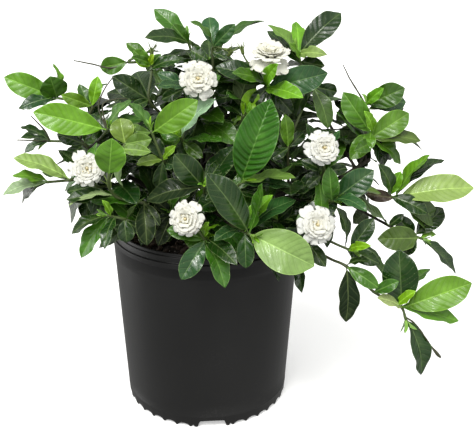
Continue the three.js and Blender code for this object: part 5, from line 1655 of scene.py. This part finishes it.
def make_stamens(shoot):
    head, face = shoot["head"], shoot["head"]["face"]
    name = shoot["bloom"].replace("bloom", "stamens")
    skins = Skins()
    top = head["base"] + face * CORE_HEIGHT

    def add_club(start, end, foot, middle, tip):
        shares = np.linspace(0, 1, 9)
        radii = np.interp(shares, (0, 0.55, 0.9, 1), (foot, middle, tip, tip * 0.4))
        add_stalk(skins, start + (end - start) * shares[:, None], radii, 8, 0, (), ends=(start, end))

    add_club(top + face * 0.3, top + face * STIGMA_LENGTH, 0.9, 1.1, 1.5)
    for i in range(STAMENS):
        out = around(face, i * 360 / STAMENS)
        start = top + face * 1.2 + out * 0.6
        add_club(start, start + out * STAMEN_REACH + face * STAMEN_RISE, 0.45, 0.6, 0.6)
    make_piece(name + "_fine", skins, [POLLEN], [name])


for shoot in blooming:
    make_stamens(shoot)


# The studio. A wide pale floor in a white surround, with four soft lights. The main one is above the left
# shoulder, with a narrower one for the glints beside it, and two wide ones fill in from the sides.
FLOOR_REACH = 9.0
SUNS = (
    ("key", 2.1, 50, (1.0, 0.985, 0.96), 38, -28), ("glint", 0.9, 12, (1.0, 0.99, 0.97), 34, -20),
    ("side", 1.5, 60, (1.0, 1.0, 0.98), 84, -108), ("fill", 1.0, 120, (1.0, 1.0, 0.98), 60, 40),
)


def make_floor():
    material, tree = new_material("studio_floor")
    place = object_place(tree)
    cloud = noise(tree, place, 2.0)
    colour = mix_colour(tree, cloud, (0.90, 0.90, 0.90), (0.93, 0.93, 0.93))
    normal = bump(tree, noise(tree, place, 60.0), 0.05, 0.0005)
    glow = {"Emission Color": (1.0, 1.0, 1.0), "Emission Strength": 0.4}
    finish_material(tree, colour, scaled(tree, cloud, 0.05, 0.8), normal, **glow)
    mesh = bpy.data.meshes.new("studio_floor")
    corners = [(x * FLOOR_REACH, y * FLOOR_REACH, 0) for x, y in ((-1, -1), (1, -1), (1, 1), (-1, 1))]
    mesh.from_pydata(corners, [], [(0, 1, 2, 3)])
    mesh.materials.append(material)
    floor = bpy.data.objects.new("studio_floor", mesh)
    scene.collection.objects.link(floor)
    floor.visible_diffuse = False
    floor.visible_glossy = False


def add_sun(name, strength, angle, colour, pitch, turn):
    light = bpy.data.lights.new(name, "SUN")
    light.energy = strength
    light.angle = math.radians(angle)
    light.color = colour
    sun = bpy.data.objects.new(name, light)
    sun.rotation_euler = (math.radians(pitch), 0, math.radians(turn))
    scene.collection.objects.link(sun)


make_floor()
for sun_sizes in SUNS:
    add_sun(*sun_sizes)
world = bpy.data.worlds.new("white_surround")
world.use_nodes = True
background = world.node_tree.nodes["Background"]
background.inputs["Color"].default_value = (1.0, 1.0, 0.98, 1.0)
background.inputs["Strength"].default_value = 0.45
scene.world = world
scene.view_settings.view_transform = "Standard"
